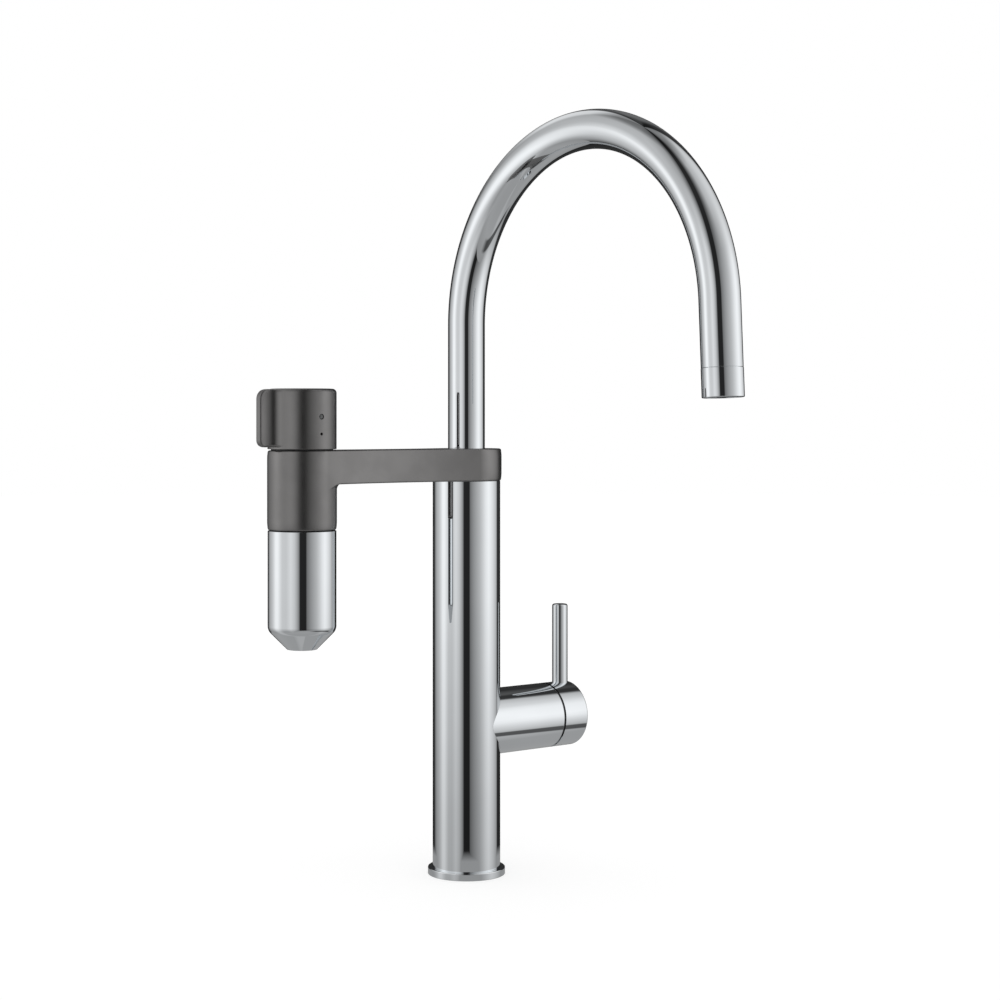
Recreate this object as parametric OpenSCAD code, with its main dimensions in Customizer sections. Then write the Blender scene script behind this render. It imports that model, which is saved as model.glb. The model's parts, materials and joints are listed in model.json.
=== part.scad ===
// Kitchen mixer tap with a filter capsule on a side arm.
// The origin is on the column's axis at deck level and +Z is up.
// The filter arm points to -X, the mixing valve to +X and the spout to -Y.

/* [Column and base] */
// Outer diameter of the column tube
column_d = 40; // [39:0.5:44]
// Wall of the column tube
column_wall = 1.6; // [1:0.1:1.8]
// Height of the column tube's upper end above the deck
column_top = 232.3; // [200:1:300]
// How far the ring at the foot stands out round the column
base_ring_w = 2.8; // [2.6:0.1:8]
// Height of the ring at the foot
base_ring_h = 4.3; // [3.5:0.1:8]
// Thread diameter of the two hose inlets
inlet_d = 10; // [8:0.5:11]
// Distance between the two hose inlets
inlet_pitch = 16; // [14:0.5:17]
// Thread diameter of the two fixing stud holes
stud_d = 8; // [5:0.5:8]
// Distance between the two fixing stud holes
stud_pitch = 21; // [20.5:0.1:23]
// Depth of the inlets and stud holes from the manifold's foot
inlet_depth = 13; // [8:0.5:14]

/* [Spout] */
// Outer diameter of the spout tube
spout_d = 21.8; // [21:0.1:23]
// Wall of the spout tube
spout_wall = 1.2; // [0.8:0.1:1.4]
// Radius of the spout's bend, at the tube's centre
bend_r = 104; // [60:1:140]
// Height at which the bend starts
bend_z = 324.2; // [290:1:400]
// Angle that the bend turns through
bend_sweep = 177.2; // [120:0.2:180]
// Straight length from the bend to the aerator
spout_leg = 34.3; // [20:0.1:60]
// Outer diameter of the aerator sleeve
aerator_d = 22; // [21:0.1:24]
// Visible length of the aerator sleeve
aerator_len = 15.2; // [10:0.1:20]

/* [Filter arm] */
// Distance from the column's axis to the filter head's axis
arm_reach = 117; // [95:1:160]
// Thickness of the arm
arm_h = 18.6; // [17.5:0.1:24]
// Outer diameter of the collar round the column
collar_d = 41.6; // [40:0.2:46]
// Outer diameter of the filter head
hub_d = 38.8; // [38:0.2:44]
// Height of the filter head
hub_h = 44.2; // [42:0.2:60]
// Half of the arm's width at its waist
arm_waist = 12; // [10:0.5:15]

/* [Filter capsule] */
// Outer diameter of the capsule cup
cup_d = 38.2; // [37.4:0.2:38.6]
// Height of the capsule cup below the filter head
cup_h = 66.1; // [55:0.1:90]
// Diameter of the flat end of the cup
cup_end_d = 16.6; // [10:0.2:24]
// Wall of the cup
cup_wall = 1.6; // [1.2:0.1:2]

/* [Filter knob] */
// Outer diameter of the knob
knob_d = 38.4; // [38:0.2:42]
// Height of the knob
knob_h = 33.6; // [33:0.1:40]
// Reach of the knob's blade from its axis
blade_reach = 29.2; // [24:0.1:36]
// Thickness of the knob's blade
blade_t = 4.5; // [3:0.1:7]
// Diameter of the lamp window
lamp_d = 3; // [2:0.1:4]
// Height of the lamp window above the knob's foot
lamp_z = 18; // [15:0.1:21]
// Height of the reset hole above the knob's foot
reset_z = 8.5; // [7:0.1:10]
// Diameter of the reset hole
reset_hole_d = 1.5; // [1:0.1:2]

/* [Mixing valve] */
// Height of the valve's axis above the deck
valve_z = 88; // [60:1:150]
// Outer diameter of the valve housing and the handle cap
valve_d = 39; // [38.6:0.1:42]
// Distance from the column's axis to the end of the housing
housing_end = 60.3; // [60:0.1:70]
// Distance from the column's axis to the end of the handle cap
cap_end = 79.5; // [79:0.1:86]
// Diameter of the cartridge
cartridge_d = 35; // [34:0.1:35.2]
// Diameter of the pin lever
lever_d = 9.5; // [6:0.1:10]
// Height of the lever's top above the valve's axis
lever_top = 67.2; // [45:0.1:90]
// Distance from the column's axis to the lever's axis
lever_x = 73.4; // [71.5:0.1:73.5]

/* [Hidden] */

$fn = 96;
eps = 0.01;

// Clearances
fit_gap = 0.05;     // between a shaft and the hole that it turns or slides in
seat_gap = 0.1;     // between pieces that are screwed or pushed together
seam_gap = 0.3;     // between shells that meet at a visible joint
swing_gap = 0.5;    // between the handle cap and the dome that it swings over

// Column and foot
column_r = column_d / 2;
base_ring_r = column_r + base_ring_w;
column_bore_r = column_r - column_wall;
ring_ledge_z = 1.6;
ring_bore_r = column_r - 3;
ring_edge = 0.6;
gasket_w = 1.5;
gasket_h = 1.2;
gasket_out_r = base_ring_r - 0.8;
gasket_in_r = gasket_out_r - gasket_w;
manifold_top = 24;
plug_r = column_bore_r - seat_gap;
tube_seat = 5;
feed_r = 3;
feed_y = 6.5;
mixed_r = 4;
filter_feed_x = -(column_bore_r - feed_r - 0.8);
passage_r = 1.6;
branch_r = 1;
branch_z = manifold_top - tube_seat - 2;

// Top bush and the spout's swivel joint
arm_z = column_top + seam_gap;
arm_top = arm_z + arm_h;
bush_l = 26;
bush_foot = column_top - bush_l;
neck_r = 12.9;
nipple_r = 8.5;
nipple_foot = bush_foot + 7.5;
nipple_bore_r = 5.2;
neck_top = arm_top - 3.2;
glide_h = 1.2;
spout_foot = neck_top + glide_h + 0.25;
nipple_head_h = 12;
spout_r = spout_d / 2;
spout_bore_r = spout_r - spout_wall;
collar_mouth_r = spout_r + 0.35;
neck_passage_x = -(nipple_r + neck_r) / 2;
return_z = arm_z + 3.1;
return_r = 1.5;
feed_z = arm_z + 12.4;
return_y = 6;
screw_z = arm_z + 11.9;
nipple_groove_r = 7.3;
seal_t = 0.9;
seal_centre_r = nipple_r - seal_t + fit_gap;
seal_inset = 5;
seal_pitch = 10;
top_seal_lift = 7.6;
seal_z = [nipple_foot + seal_inset, nipple_foot + seal_inset + seal_pitch, arm_z + top_seal_lift];
channel_r = 2.4;

// Spout path
bend_end_y = -bend_r + bend_r * cos(bend_sweep);
bend_end_z = bend_z + bend_r * sin(bend_sweep);
aerator_r = aerator_d / 2;
leg_lap = 0.3;      // the straight leg laps over the bend's end

// Filter head
hub_r = hub_d / 2;
collar_r = collar_d / 2;
hub_foot = arm_top - hub_h;
barrel = 0.45;
barrel_band = 5;
corner_r = 2.8;
corner_sink = 0.02;
cup_thread_r = 16.5;
cup_thread_h = 10;
head_bore_r = 15.8;
headwork_l = 12.7;
headwork_foot = arm_top - headwork_l;
socket_roof_t = 2.5;
socket_top = headwork_foot - socket_roof_t;
socket_h = 8;
head_bore_top = socket_top - socket_h;
socket_r = 7;
head_port_x = socket_r + 1.4;
head_port_r = 1.1;
headwork_r = 9;
headwork_hex_r = 10.5;
headwork_hex_h = 4;
guide_r = 7.9;
guide_top = arm_top + 11.8;
disc_bore_r = 6.5;
disc_bore_top = headwork_foot + 5.6;
spindle_r = 3.5;

// Capsule and cup
cup_r = cup_d / 2;
cup_top = hub_foot - 0.4;
cup_foot = cup_top - cup_h;
cup_cone_h = cup_r - cup_end_d / 2;
cup_round = 6;
capsule_r = cup_thread_r - cup_wall - 0.3;
capsule_foot = cup_foot + cup_cone_h + 1.6;
capsule_top = head_bore_top - 0.8;
capsule_wall = 1.4;
carbon_top = capsule_foot + 0.45 * (capsule_top - capsule_foot);
spigot_r = socket_r - fit_gap;
spigot_top = socket_top - 0.6;
spigot_bore_r = 2.6;
spigot_seal_z = [capsule_top + 3, capsule_top + 6.6];
cup_seal_t = 0.7;
cup_seal_r = cup_thread_r + 1.3;

// Knob
knob_r = knob_d / 2;
knob_foot = arm_top + 0.7;
knob_top = knob_foot + knob_h;
knob_wall = 1.8;
knob_bore_r = knob_r - knob_wall;
knob_roof = 2.2;
knob_edge = 2.4;
blade_top_r = 5.5;
blade_foot_r = 4;
blade_lift = 1.2;
cove_r = 3;
carrier_r = 11.5;
carrier_foot = guide_top + 0.4;
carrier_disc_z = knob_top - knob_roof - 4.6;
carrier_disc_h = 3;
spline_r = 4;
spline_top = carrier_foot + 8.4;
web_h = 1.2;
screw_head_r = 3.6;
screw_head_h = 2.6;
knob_screw_r = 1.9;
board_front = -13;
board_t = 1.2;
board_w = 13;
cell_r = 8;
cell_t = 2;
led_depth = 0.85;
switch_depth = 1.55;
switch_w = 4;
button_r = 1.2;
button_len = 2.9;

// Valve: the handle pivots about one point on the valve's axis
valve_r = valve_d / 2;
pivot_x = housing_end - 7.3;
swing_r = norm([housing_end - pivot_x, valve_r]);
cap_bore_r = swing_r + swing_gap;
dome_wall = 1.2;
dome_opening_r = 14.2;
glide_end = housing_end + 1.1;
cartridge_r = cartridge_d / 2;
cartridge_bore_r = cartridge_r + seat_gap;
cartridge_l = 28;
cartridge_seat = pivot_x - cartridge_l;
cartridge_foot = cartridge_seat + 0.3;
cartridge_shoulder = pivot_x - 4;
cartridge_end = pivot_x + 5;
cartridge_neck_r = 13;
disc_room_r = 15;
disc_room_start = cartridge_foot + 3.8;
disc_room_back = 12.8;
disc_room_end = pivot_x - disc_room_back;
mix_carrier_r = 10.95;
mix_carrier_end = pivot_x + 4;
mix_carrier_bore_r = mix_carrier_r + fit_gap;
fixed_disc_r = disc_room_r - seat_gap;
disc_t = 3;
fixed_disc_x = disc_room_start + fit_gap;
control_disc_r = 10;
control_disc_x = fixed_disc_x + disc_t + fit_gap;
driver_x = control_disc_x + disc_t + fit_gap;
driver_end = disc_room_end - 0.2;
ball_arm = 14;
ball_r = 3;
ball_pocket_r = ball_r + 0.3;
stem_w = 7;
stem_tail = 6;
stem_l = 20;
stem_end = pivot_x + stem_l;
stem_pin_r = 1.5;
slot_w = stem_w + 0.6;
slot_h = 18;
spigot_x = 12;
boss_r = 6.3;
boss_reach = 13;
stem_socket_reach = 12;
cap_edge = 1.2;
lever_r = lever_d / 2;
lever_edge = 1.2;
lever_seat_z = 15.6;
lever_thread_r = 2.5;
lever_thread_z = 12.9;
grub_r = 2.5;
grub_reach = 17;
grub_x = pivot_x + grub_reach;

// A ring or tube standing on z
module ring(r_out, r_in, z0, z1) {
    translate([0, 0, z0]) difference() {
        cylinder(r = r_out, h = z1 - z0);
        translate([0, 0, -eps]) cylinder(r = r_in, h = z1 - z0 + 2 * eps);
    }
}

// A rod or hole standing on z
module rod(r, z0, z1) {
    translate([0, 0, z0]) cylinder(r = r, h = z1 - z0);
}

// A rod or hole along +X
module rod_x(r, x0, x1) {
    translate([x0, 0, 0]) rotate([0, 90, 0]) cylinder(r = r, h = x1 - x0);
}

// A rod or hole along +Y
module rod_y(r, y0, y1) {
    translate([0, y0, 0]) rotate([-90, 0, 0]) cylinder(r = r, h = y1 - y0);
}

// A ring along +X
module ring_x(r_out, r_in, x0, x1) {
    difference() {
        rod_x(r_out, x0, x1);
        rod_x(r_in, x0 - eps, x1 + eps);
    }
}

// A solid of revolution with rounded upper and lower outer edges
module round_rod(r, z0, z1, top_edge, foot_edge) {
    h = z1 - z0;
    translate([0, 0, z0]) rotate_extrude() {
        square([r - max(top_edge, foot_edge), h]);
        translate([0, foot_edge]) square([r, h - top_edge - foot_edge]);
        translate([0, h - top_edge]) square([r - top_edge, top_edge]);
        square([r - foot_edge, foot_edge + eps]);
        translate([r - top_edge, h - top_edge]) circle(r = top_edge);
        translate([r - foot_edge, foot_edge]) circle(r = foot_edge);
    }
}

// A seal ring of round section about z
module seal(centre_r, t, z) {
    translate([0, 0, z]) rotate_extrude() translate([centre_r, 0]) circle(r = t);
}

// The groove for a seal round a shaft of radius r, with the seal's centre at z
module seal_groove(r, z) {
    ring(r + 1, r - 2 * seal_t + fit_gap / 2, z - seal_t - 0.1, z + seal_t + 0.1);
}

// Radius of the gently rounded ends of the collar and the filter head
function barrel_r(r, from_end) =
    from_end >= barrel_band ? r : r - barrel * pow(1 - from_end / barrel_band, 2);

// The profile of a barrelled body of radius r and height h
function barrel_profile(r, h) = concat(
    [[0, 0]],
    [for (i = [0 : 5]) [barrel_r(r, i / 5 * barrel_band), i / 5 * barrel_band]],
    [for (i = [5 : -1 : 0]) [barrel_r(r, i / 5 * barrel_band), h - i / 5 * barrel_band]],
    [[0, h]]
);

module barrel_body(r, z0, z1) {
    translate([0, 0, z0]) rotate_extrude() polygon(barrel_profile(r, z1 - z0));
}

module at_valve() { translate([0, 0, valve_z]) children(); }
module swing_ball(r) { translate([pivot_x, 0, 0]) rotate([0, 90, 0]) sphere(r = r); }
module at_hub() { translate([-arm_reach, 0, 0]) children(); }
module at_outlet() { translate([0, bend_end_y, bend_end_z]) rotate([bend_sweep, 0, 0]) children(); }

// The spout's path as a solid bar of radius r
module spout_path(r, z0, leg_end) {
    rod(r, z0, bend_z);
    translate([0, -bend_r, bend_z]) rotate([90, 0, 90])
        rotate_extrude(angle = bend_sweep) translate([bend_r, 0]) circle(r = r);
    at_outlet() translate([0, 0, -leg_lap]) cylinder(r = r + eps, h = leg_end + leg_lap);
}

// Foot

module base_ring() {
    color("gainsboro") difference() {
        round_rod(base_ring_r, 0, base_ring_h, ring_edge, ring_edge / 2);
        rod(ring_bore_r, -eps, ring_ledge_z + eps);
        rod(column_r + fit_gap, ring_ledge_z, base_ring_h + eps);
        translate([0, 0, -eps]) ring(gasket_out_r, gasket_in_r, 0, gasket_h + eps);
    }
}

module base_gasket() {
    color("black") ring(gasket_out_r - fit_gap, gasket_in_r + fit_gap, 0, gasket_h - fit_gap);
}

module base_manifold() {
    color("goldenrod") difference() {
        union() {
            rod(ring_bore_r - seat_gap, 0, ring_ledge_z + 1);
            rod(plug_r, ring_ledge_z + fit_gap, manifold_top);
        }
        for (side = [-1, 1]) {
            translate([0, side * inlet_pitch / 2, 0])
                rod(inlet_d / 2, -eps, inlet_depth);
            translate([0, side * feed_y, 0]) {
                rod(passage_r, inlet_depth - eps, manifold_top);
                rod(feed_r + fit_gap, manifold_top - tube_seat, manifold_top + eps);
            }
            translate([side * stud_pitch / 2, 0, 0])
                rod(stud_d / 2, -eps, inlet_depth);
        }
        translate([filter_feed_x, 0, 0]) {
            rod(feed_r + fit_gap, manifold_top - tube_seat, manifold_top + eps);
            rod(branch_r + 0.3, branch_z - branch_r - 0.5, manifold_top - tube_seat + eps);
        }
        translate([0, -feed_y, branch_z]) rotate([0, 0, atan2(feed_y, filter_feed_x)])
            rod_x(branch_r, 0, norm([feed_y, filter_feed_x]) + 0.4);
    }
}

module column_tube() {
    color("silver") difference() {
        ring(column_r, column_bore_r, ring_ledge_z + fit_gap, column_top);
        at_valve() rod_x(spigot_x + fit_gap, 0, column_r + 1);
    }
}

module feed_tube(y) {
    translate([0, y, 0])
        ring(feed_r, feed_r - 0.8, manifold_top - tube_seat + fit_gap, valve_z - tube_seat - fit_gap);
}

module hot_feed_tube() { color("peru") feed_tube(feed_y); }

module cold_feed_tube() { color("peru") feed_tube(-feed_y); }

module filter_feed_tube() {
    color("peru") translate([filter_feed_x, 0, 0])
        ring(feed_r, feed_r - 0.8, manifold_top - tube_seat + fit_gap, bush_foot + tube_seat - fit_gap);
}

module mixed_water_tube() {
    color("peru")
        ring(mixed_r, mixed_r - 0.8, valve_z + tube_seat + 1 + fit_gap, bush_foot + tube_seat - fit_gap);
}

// Top of the column

module top_bush() {
    color("goldenrod") difference() {
        union() {
            rod(plug_r, bush_foot, arm_z);
            rod(neck_r, arm_z - eps, neck_top);
        }
        rod(nipple_r + fit_gap, nipple_foot - 1, neck_top + eps);
        rod(mixed_r + fit_gap, bush_foot - eps, bush_foot + tube_seat);
        rod(mixed_r - 1, bush_foot, nipple_foot);
        translate([filter_feed_x, 0, 0]) rod(feed_r + fit_gap, bush_foot - eps, bush_foot + tube_seat);
        translate([neck_passage_x, 0, 0]) rod(passage_r, bush_foot + tube_seat + 1, feed_z);
        translate([0, 0, bush_foot + tube_seat + passage_r]) rod_x(passage_r, filter_feed_x, neck_passage_x);
        translate([0, 0, feed_z]) rod_x(passage_r, -neck_r - eps, neck_passage_x);
        translate([0, return_y, return_z]) rod_x(return_r, -neck_r, -nipple_r / 2);
        translate([0, 0, screw_z]) rod_y(grub_r + fit_gap, nipple_r, neck_r + 1);
    }
}

module spout_glide_ring() {
    color("dimgray") ring(collar_mouth_r - seat_gap, nipple_r + 0.2, neck_top + fit_gap, neck_top + glide_h);
}

module spout_retaining_screw() {
    color("gray") translate([0, 0, screw_z]) {
        rod_y(grub_r, nipple_r + 0.4, collar_r - 1);
        rod_y(grub_r - 1.1, nipple_groove_r + 0.3, nipple_r + 0.4);
    }
}

// Filter arm

// The waist's hollow: a circle that touches both the collar and the filter head
waist_dr = collar_r - hub_r;
waist_mid = arm_reach / 2;
waist_r = (waist_mid * waist_mid + arm_waist * arm_waist - pow((collar_r + hub_r) / 2, 2))
    / (collar_r + hub_r - 2 * arm_waist);
waist_y = arm_waist + waist_r;
waist_x = -waist_mid - waist_dr * (waist_r + (collar_r + hub_r) / 2) / arm_reach;
waist_touch_collar = -waist_x * collar_r / (waist_r + collar_r);
waist_touch_hub = arm_reach + (-arm_reach - waist_x) * hub_r / (waist_r + hub_r);

module arm_web(z0, z1) {
    difference() {
        translate([-waist_touch_hub, -collar_r, z0])
            cube([waist_touch_hub - waist_touch_collar, 2 * collar_r, z1 - z0]);
        for (side = [-1, 1])
            translate([waist_x, side * waist_y, 0]) rotate([0, 0, 7])
                rod(waist_r, z0 - 1, z1 + 1, $fn = 360);
    }
}

// The hollow corner under the arm, where it meets the filter head
module arm_corner() {
    intersection() {
        arm_web(arm_z - corner_r, arm_z + eps);
        at_hub() translate([0, 0, arm_z - corner_r]) rotate_extrude() difference() {
            translate([hub_r - 1, 0]) square([corner_r + 1, corner_r + eps]);
            translate([hub_r + corner_r - corner_sink, 0]) circle(r = corner_r);
        }
    }
}

module filter_arm() {
    color("dimgray") difference() {
        union() {
            barrel_body(collar_r, arm_z, arm_top);
            at_hub() barrel_body(hub_r, hub_foot, arm_top);
            arm_web(arm_z, arm_top);
            arm_corner();
        }
        rod(neck_r + seat_gap, arm_z - 1, neck_top + fit_gap);
        rod(collar_mouth_r, neck_top, arm_top + 1);
        at_hub() {
            rod(cup_thread_r + fit_gap, hub_foot - 1, hub_foot + cup_thread_h + 1);
            rod(head_bore_r, hub_foot, head_bore_top);
            rod(socket_r, head_bore_top - eps, socket_top);
            rod(headwork_r, headwork_foot - 1, arm_top + 1);
            translate([-head_port_x, 0, 0]) rod(head_port_r, head_bore_top - eps, headwork_foot);
        }
        translate([0, 0, feed_z]) rod_x(channel_r, -arm_reach + headwork_r - 1, -neck_r);
        translate([0, return_y, return_z]) rod_x(return_r, -arm_reach + 2, -neck_r + 1);
        translate([0, 0, screw_z]) rod_y(grub_r + fit_gap, neck_r - 1, collar_r + 1);
    }
}

module headwork_body() {
    color("goldenrod") at_hub() difference() {
        union() {
            rod(headwork_r - fit_gap, headwork_foot + fit_gap, arm_top + eps);
            rod(headwork_hex_r, arm_top + fit_gap, arm_top + headwork_hex_h, $fn = 6);
            rod(guide_r, arm_top, guide_top);
        }
        rod(disc_bore_r, headwork_foot - eps, disc_bore_top);
        rod(spindle_r + fit_gap, disc_bore_top - eps, guide_top + eps);
        translate([0, 0, feed_z]) rod_x(channel_r, 0, headwork_r + 1);
    }
}

module headwork_disc(z0, z1, r) {
    at_hub() difference() {
        rod(r, z0, z1);
        for (side = [-1, 1]) translate([0, side * r / 2, 0]) rod(passage_r, z0 - eps, z1 + eps);
    }
}

module headwork_fixed_disc() {
    color("white") headwork_disc(headwork_foot + 0.2, headwork_foot + 2.4, disc_bore_r - fit_gap);
}

module headwork_turning_disc() {
    color("ivory") headwork_disc(headwork_foot + 2.45, headwork_foot + 4.6, disc_bore_r - 2 * fit_gap);
}

module headwork_spindle() {
    color("goldenrod") at_hub() difference() {
        union() {
            rod(disc_bore_r - 2 * fit_gap, headwork_foot + 4.65, disc_bore_top - fit_gap);
            rod(spindle_r, disc_bore_top - 1, guide_top + 1);
            rod(spline_r, carrier_foot, spline_top);
        }
        rod(knob_screw_r + fit_gap, carrier_foot, spline_top + eps);
    }
}

// Mixing valve

module valve_housing() {
    color("silver") at_valve() difference() {
        union() {
            difference() {
                rod_x(valve_r, 0, housing_end);
                translate([0, 0, -valve_z]) rod(column_r + 0.02, 0, column_top);
            }
            rod_x(spigot_x, -10, cartridge_seat);
        }
        rod_x(cartridge_bore_r, cartridge_seat, housing_end + eps);
        for (side = [-1, 1]) translate([0, side * feed_y, 0]) {
            rod(feed_r + fit_gap, -spigot_x - 1, -tube_seat);
            translate([0, 0, -tube_seat - 1]) rod_x(passage_r, -2, cartridge_seat + eps);
        }
        rod(mixed_r + fit_gap, tube_seat + 1, spigot_x + 1);
        translate([0, 0, tube_seat + 2]) rod_x(passage_r, -1, cartridge_seat + eps);
    }
}

module base_seal(y, z) {
    color("black") at_valve() translate([0, y, z])
        ring_x(passage_r + 1.1, passage_r + 0.2, cartridge_seat + fit_gap, cartridge_foot + 0.65);
}

module base_seal_hot() { base_seal(feed_y, -tube_seat - 1); }

module base_seal_cold() { base_seal(-feed_y, -tube_seat - 1); }

module base_seal_mixed() { base_seal(0, tube_seat + 2); }

module cartridge_body() {
    color("whitesmoke") at_valve() difference() {
        union() {
            rod_x(cartridge_r, cartridge_foot, cartridge_shoulder);
            rod_x(cartridge_neck_r, cartridge_shoulder - eps, cartridge_end);
        }
        rod_x(disc_room_r, disc_room_start, disc_room_end);
        rod_x(mix_carrier_bore_r, disc_room_end - eps, mix_carrier_end + fit_gap);
        rod_x(mix_carrier_r - 1.2, mix_carrier_end, cartridge_end + eps);
        for (side = [-1, 1]) translate([0, side * feed_y, -tube_seat - 1]) {
            rod_x(passage_r, cartridge_foot - eps, disc_room_start + eps);
            rod_x(passage_r + 1.15, cartridge_foot - eps, cartridge_foot + 0.7);
        }
        translate([0, 0, tube_seat + 2]) {
            rod_x(passage_r, cartridge_foot - eps, disc_room_start + eps);
            rod_x(passage_r + 1.15, cartridge_foot - eps, cartridge_foot + 0.7);
        }
    }
}

module cartridge_fixed_disc() {
    color("white") at_valve() difference() {
        rod_x(fixed_disc_r, fixed_disc_x, fixed_disc_x + disc_t);
        for (side = [-1, 1]) translate([0, side * feed_y, -tube_seat - 1])
            rod_x(passage_r, fixed_disc_x - eps, fixed_disc_x + disc_t + eps);
        translate([0, 0, tube_seat + 2]) rod_x(passage_r, fixed_disc_x - eps, fixed_disc_x + disc_t + eps);
    }
}

module control_disc() {
    color("ivory") at_valve() difference() {
        rod_x(control_disc_r, control_disc_x, control_disc_x + disc_t);
        rod_x(control_disc_r / 2, control_disc_x - eps, control_disc_x + disc_t / 2);
    }
}

module disc_driver() {
    color("darkorange") at_valve() difference() {
        rod_x(control_disc_r, driver_x, driver_end);
        rod_x(ball_pocket_r, pivot_x - ball_arm - ball_r - 0.1, driver_end + eps);
    }
}

module cartridge_carrier() {
    color("tomato") at_valve() difference() {
        rod_x(mix_carrier_r, disc_room_end + 0.1, mix_carrier_end - fit_gap);
        translate([disc_room_end, -slot_w / 2, -slot_h / 2])
            cube([mix_carrier_end - disc_room_end, slot_w, slot_h]);
        translate([pivot_x, 0, 0]) rod_y(stem_pin_r + 0.02, -mix_carrier_r, mix_carrier_r);
    }
}

module stem_pin() {
    color("gray") at_valve() translate([pivot_x, 0, 0])
        rod_y(stem_pin_r, -mix_carrier_r + 0.6, mix_carrier_r - 0.6);
}

module lever_stem() {
    color("lightgray") at_valve() difference() {
        union() {
            translate([pivot_x - stem_tail, -stem_w / 2, -stem_w / 2])
                cube([stem_end - pivot_x + stem_tail, stem_w, stem_w]);
            rod_x(ball_r - 0.4, pivot_x - ball_arm, pivot_x - stem_tail + eps);
            translate([pivot_x - ball_arm, 0, 0]) sphere(r = ball_r);
        }
        translate([pivot_x, 0, 0]) rod_y(stem_pin_r + fit_gap, -stem_w, stem_w);
    }
}

module retaining_nut() {
    color("goldenrod") at_valve() difference() {
        ring_x(cartridge_r, cartridge_neck_r + seat_gap, cartridge_shoulder + fit_gap, cartridge_end - 0.7);
        for (side = [-1, 1]) translate([cartridge_end - 2.7, side * cartridge_r - 2, -1.5])
            cube([2.1, 4, 3]);
    }
}

module dome_cover() {
    color("silver") at_valve() union() {
        difference() {
            intersection() {
                swing_ball(swing_r);
                rod_x(valve_r, glide_end + fit_gap, cap_end);
            }
            swing_ball(swing_r - dome_wall);
            rod_x(dome_opening_r, housing_end, cap_end);
        }
        ring_x(cartridge_r, cartridge_r - dome_wall, cartridge_end - 0.6, pivot_x + 10);
    }
}

module handle_glide_ring() {
    color("black") at_valve() intersection() {
        ring_x(valve_r - 0.4, cartridge_r + seat_gap, housing_end + 0.02, glide_end);
        swing_ball(swing_r);
    }
}

// Handle

module handle_cap() {
    color("silver") at_valve() difference() {
        union() {
            difference() {
                translate([cap_end, 0, 0]) rotate([0, -90, 0])
                    round_rod(valve_r, 0, cap_end - housing_end, cap_edge, cap_edge);
                swing_ball(cap_bore_r);
            }
            rod_x(boss_r, pivot_x + boss_reach, cap_end - cap_edge);
        }
        translate([pivot_x + stem_socket_reach, -stem_w / 2 - fit_gap, -stem_w / 2 - fit_gap])
            cube([stem_l - stem_socket_reach + fit_gap, stem_w + 2 * fit_gap, stem_w + 2 * fit_gap]);
        translate([lever_x, 0, 0]) {
            rod(lever_r + fit_gap, lever_seat_z, valve_r + 1);
            rod(lever_thread_r + fit_gap, lever_thread_z, lever_seat_z + eps);
        }
        translate([grub_x, 0, 0]) rod(grub_r + fit_gap, -valve_r - 1, 0);
    }
}

module pin_lever() {
    color("silver") at_valve() translate([lever_x, 0, 0]) {
        round_rod(lever_r, lever_seat_z + fit_gap, lever_top, lever_edge, 0.2);
        rod(lever_thread_r, lever_thread_z + fit_gap, lever_seat_z + 1);
    }
}

module handle_grub_screw() {
    color("gray") at_valve() translate([grub_x, 0, 0]) difference() {
        rod(grub_r, -stem_w / 2 - 3, -stem_w / 2 - fit_gap);
        rod(grub_r / 2, -stem_w / 2 - 3 - eps, -stem_w / 2 - 1.4, $fn = 6);
    }
}

module screw_plug() {
    color("gray") at_valve() translate([grub_x, 0, 0]) rod(grub_r, -valve_r + 0.4, -valve_r + 4);
}

// Spout

module spout_tube() {
    color("silver") difference() {
        spout_path(spout_r, spout_foot, spout_leg);
        spout_path(spout_bore_r, spout_foot - eps, spout_leg + eps);
    }
}

module spout_nipple() {
    color("goldenrod") difference() {
        union() {
            rod(nipple_r, nipple_foot, spout_foot + eps);
            rod(spout_bore_r - fit_gap, spout_foot, spout_foot + nipple_head_h);
        }
        rod(nipple_bore_r, nipple_foot - eps, spout_foot + nipple_head_h + eps);
        for (z = seal_z) seal_groove(nipple_r, z);
        ring(nipple_r + 1, nipple_groove_r, screw_z - 1.7, screw_z + 1.7);
        ring(nipple_r + 1, nipple_groove_r, return_z - 1.7, return_z + 1.7);
        for (turn = [0 : 90 : 270]) rotate([0, 0, turn]) translate([0, 0, return_z])
            rod_x(1.2, 0, nipple_r);
    }
}

module spout_seal_lower() { color("black") seal(seal_centre_r, seal_t - fit_gap, seal_z[0]); }

module spout_seal_middle() { color("black") seal(seal_centre_r, seal_t - fit_gap, seal_z[1]); }

module spout_seal_upper() { color("black") seal(seal_centre_r, seal_t - fit_gap, seal_z[2]); }

// The aerator, drawn about the outlet's axis with the water flowing to +Z
aerator_neck = 7;
aerator_bore_r = spout_bore_r - 1.4;

module aerator_sleeve() {
    color("silver") at_outlet() translate([0, 0, spout_leg + 0.15]) difference() {
        union() {
            round_rod(aerator_r, 0, aerator_len, 0.5, 0.2);
            rod(spout_bore_r - fit_gap, -aerator_neck, eps);
        }
        rod(aerator_bore_r, -aerator_neck - eps, aerator_len + eps);
        rod(aerator_bore_r + 0.9, 1, aerator_len + eps);
    }
}

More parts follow.
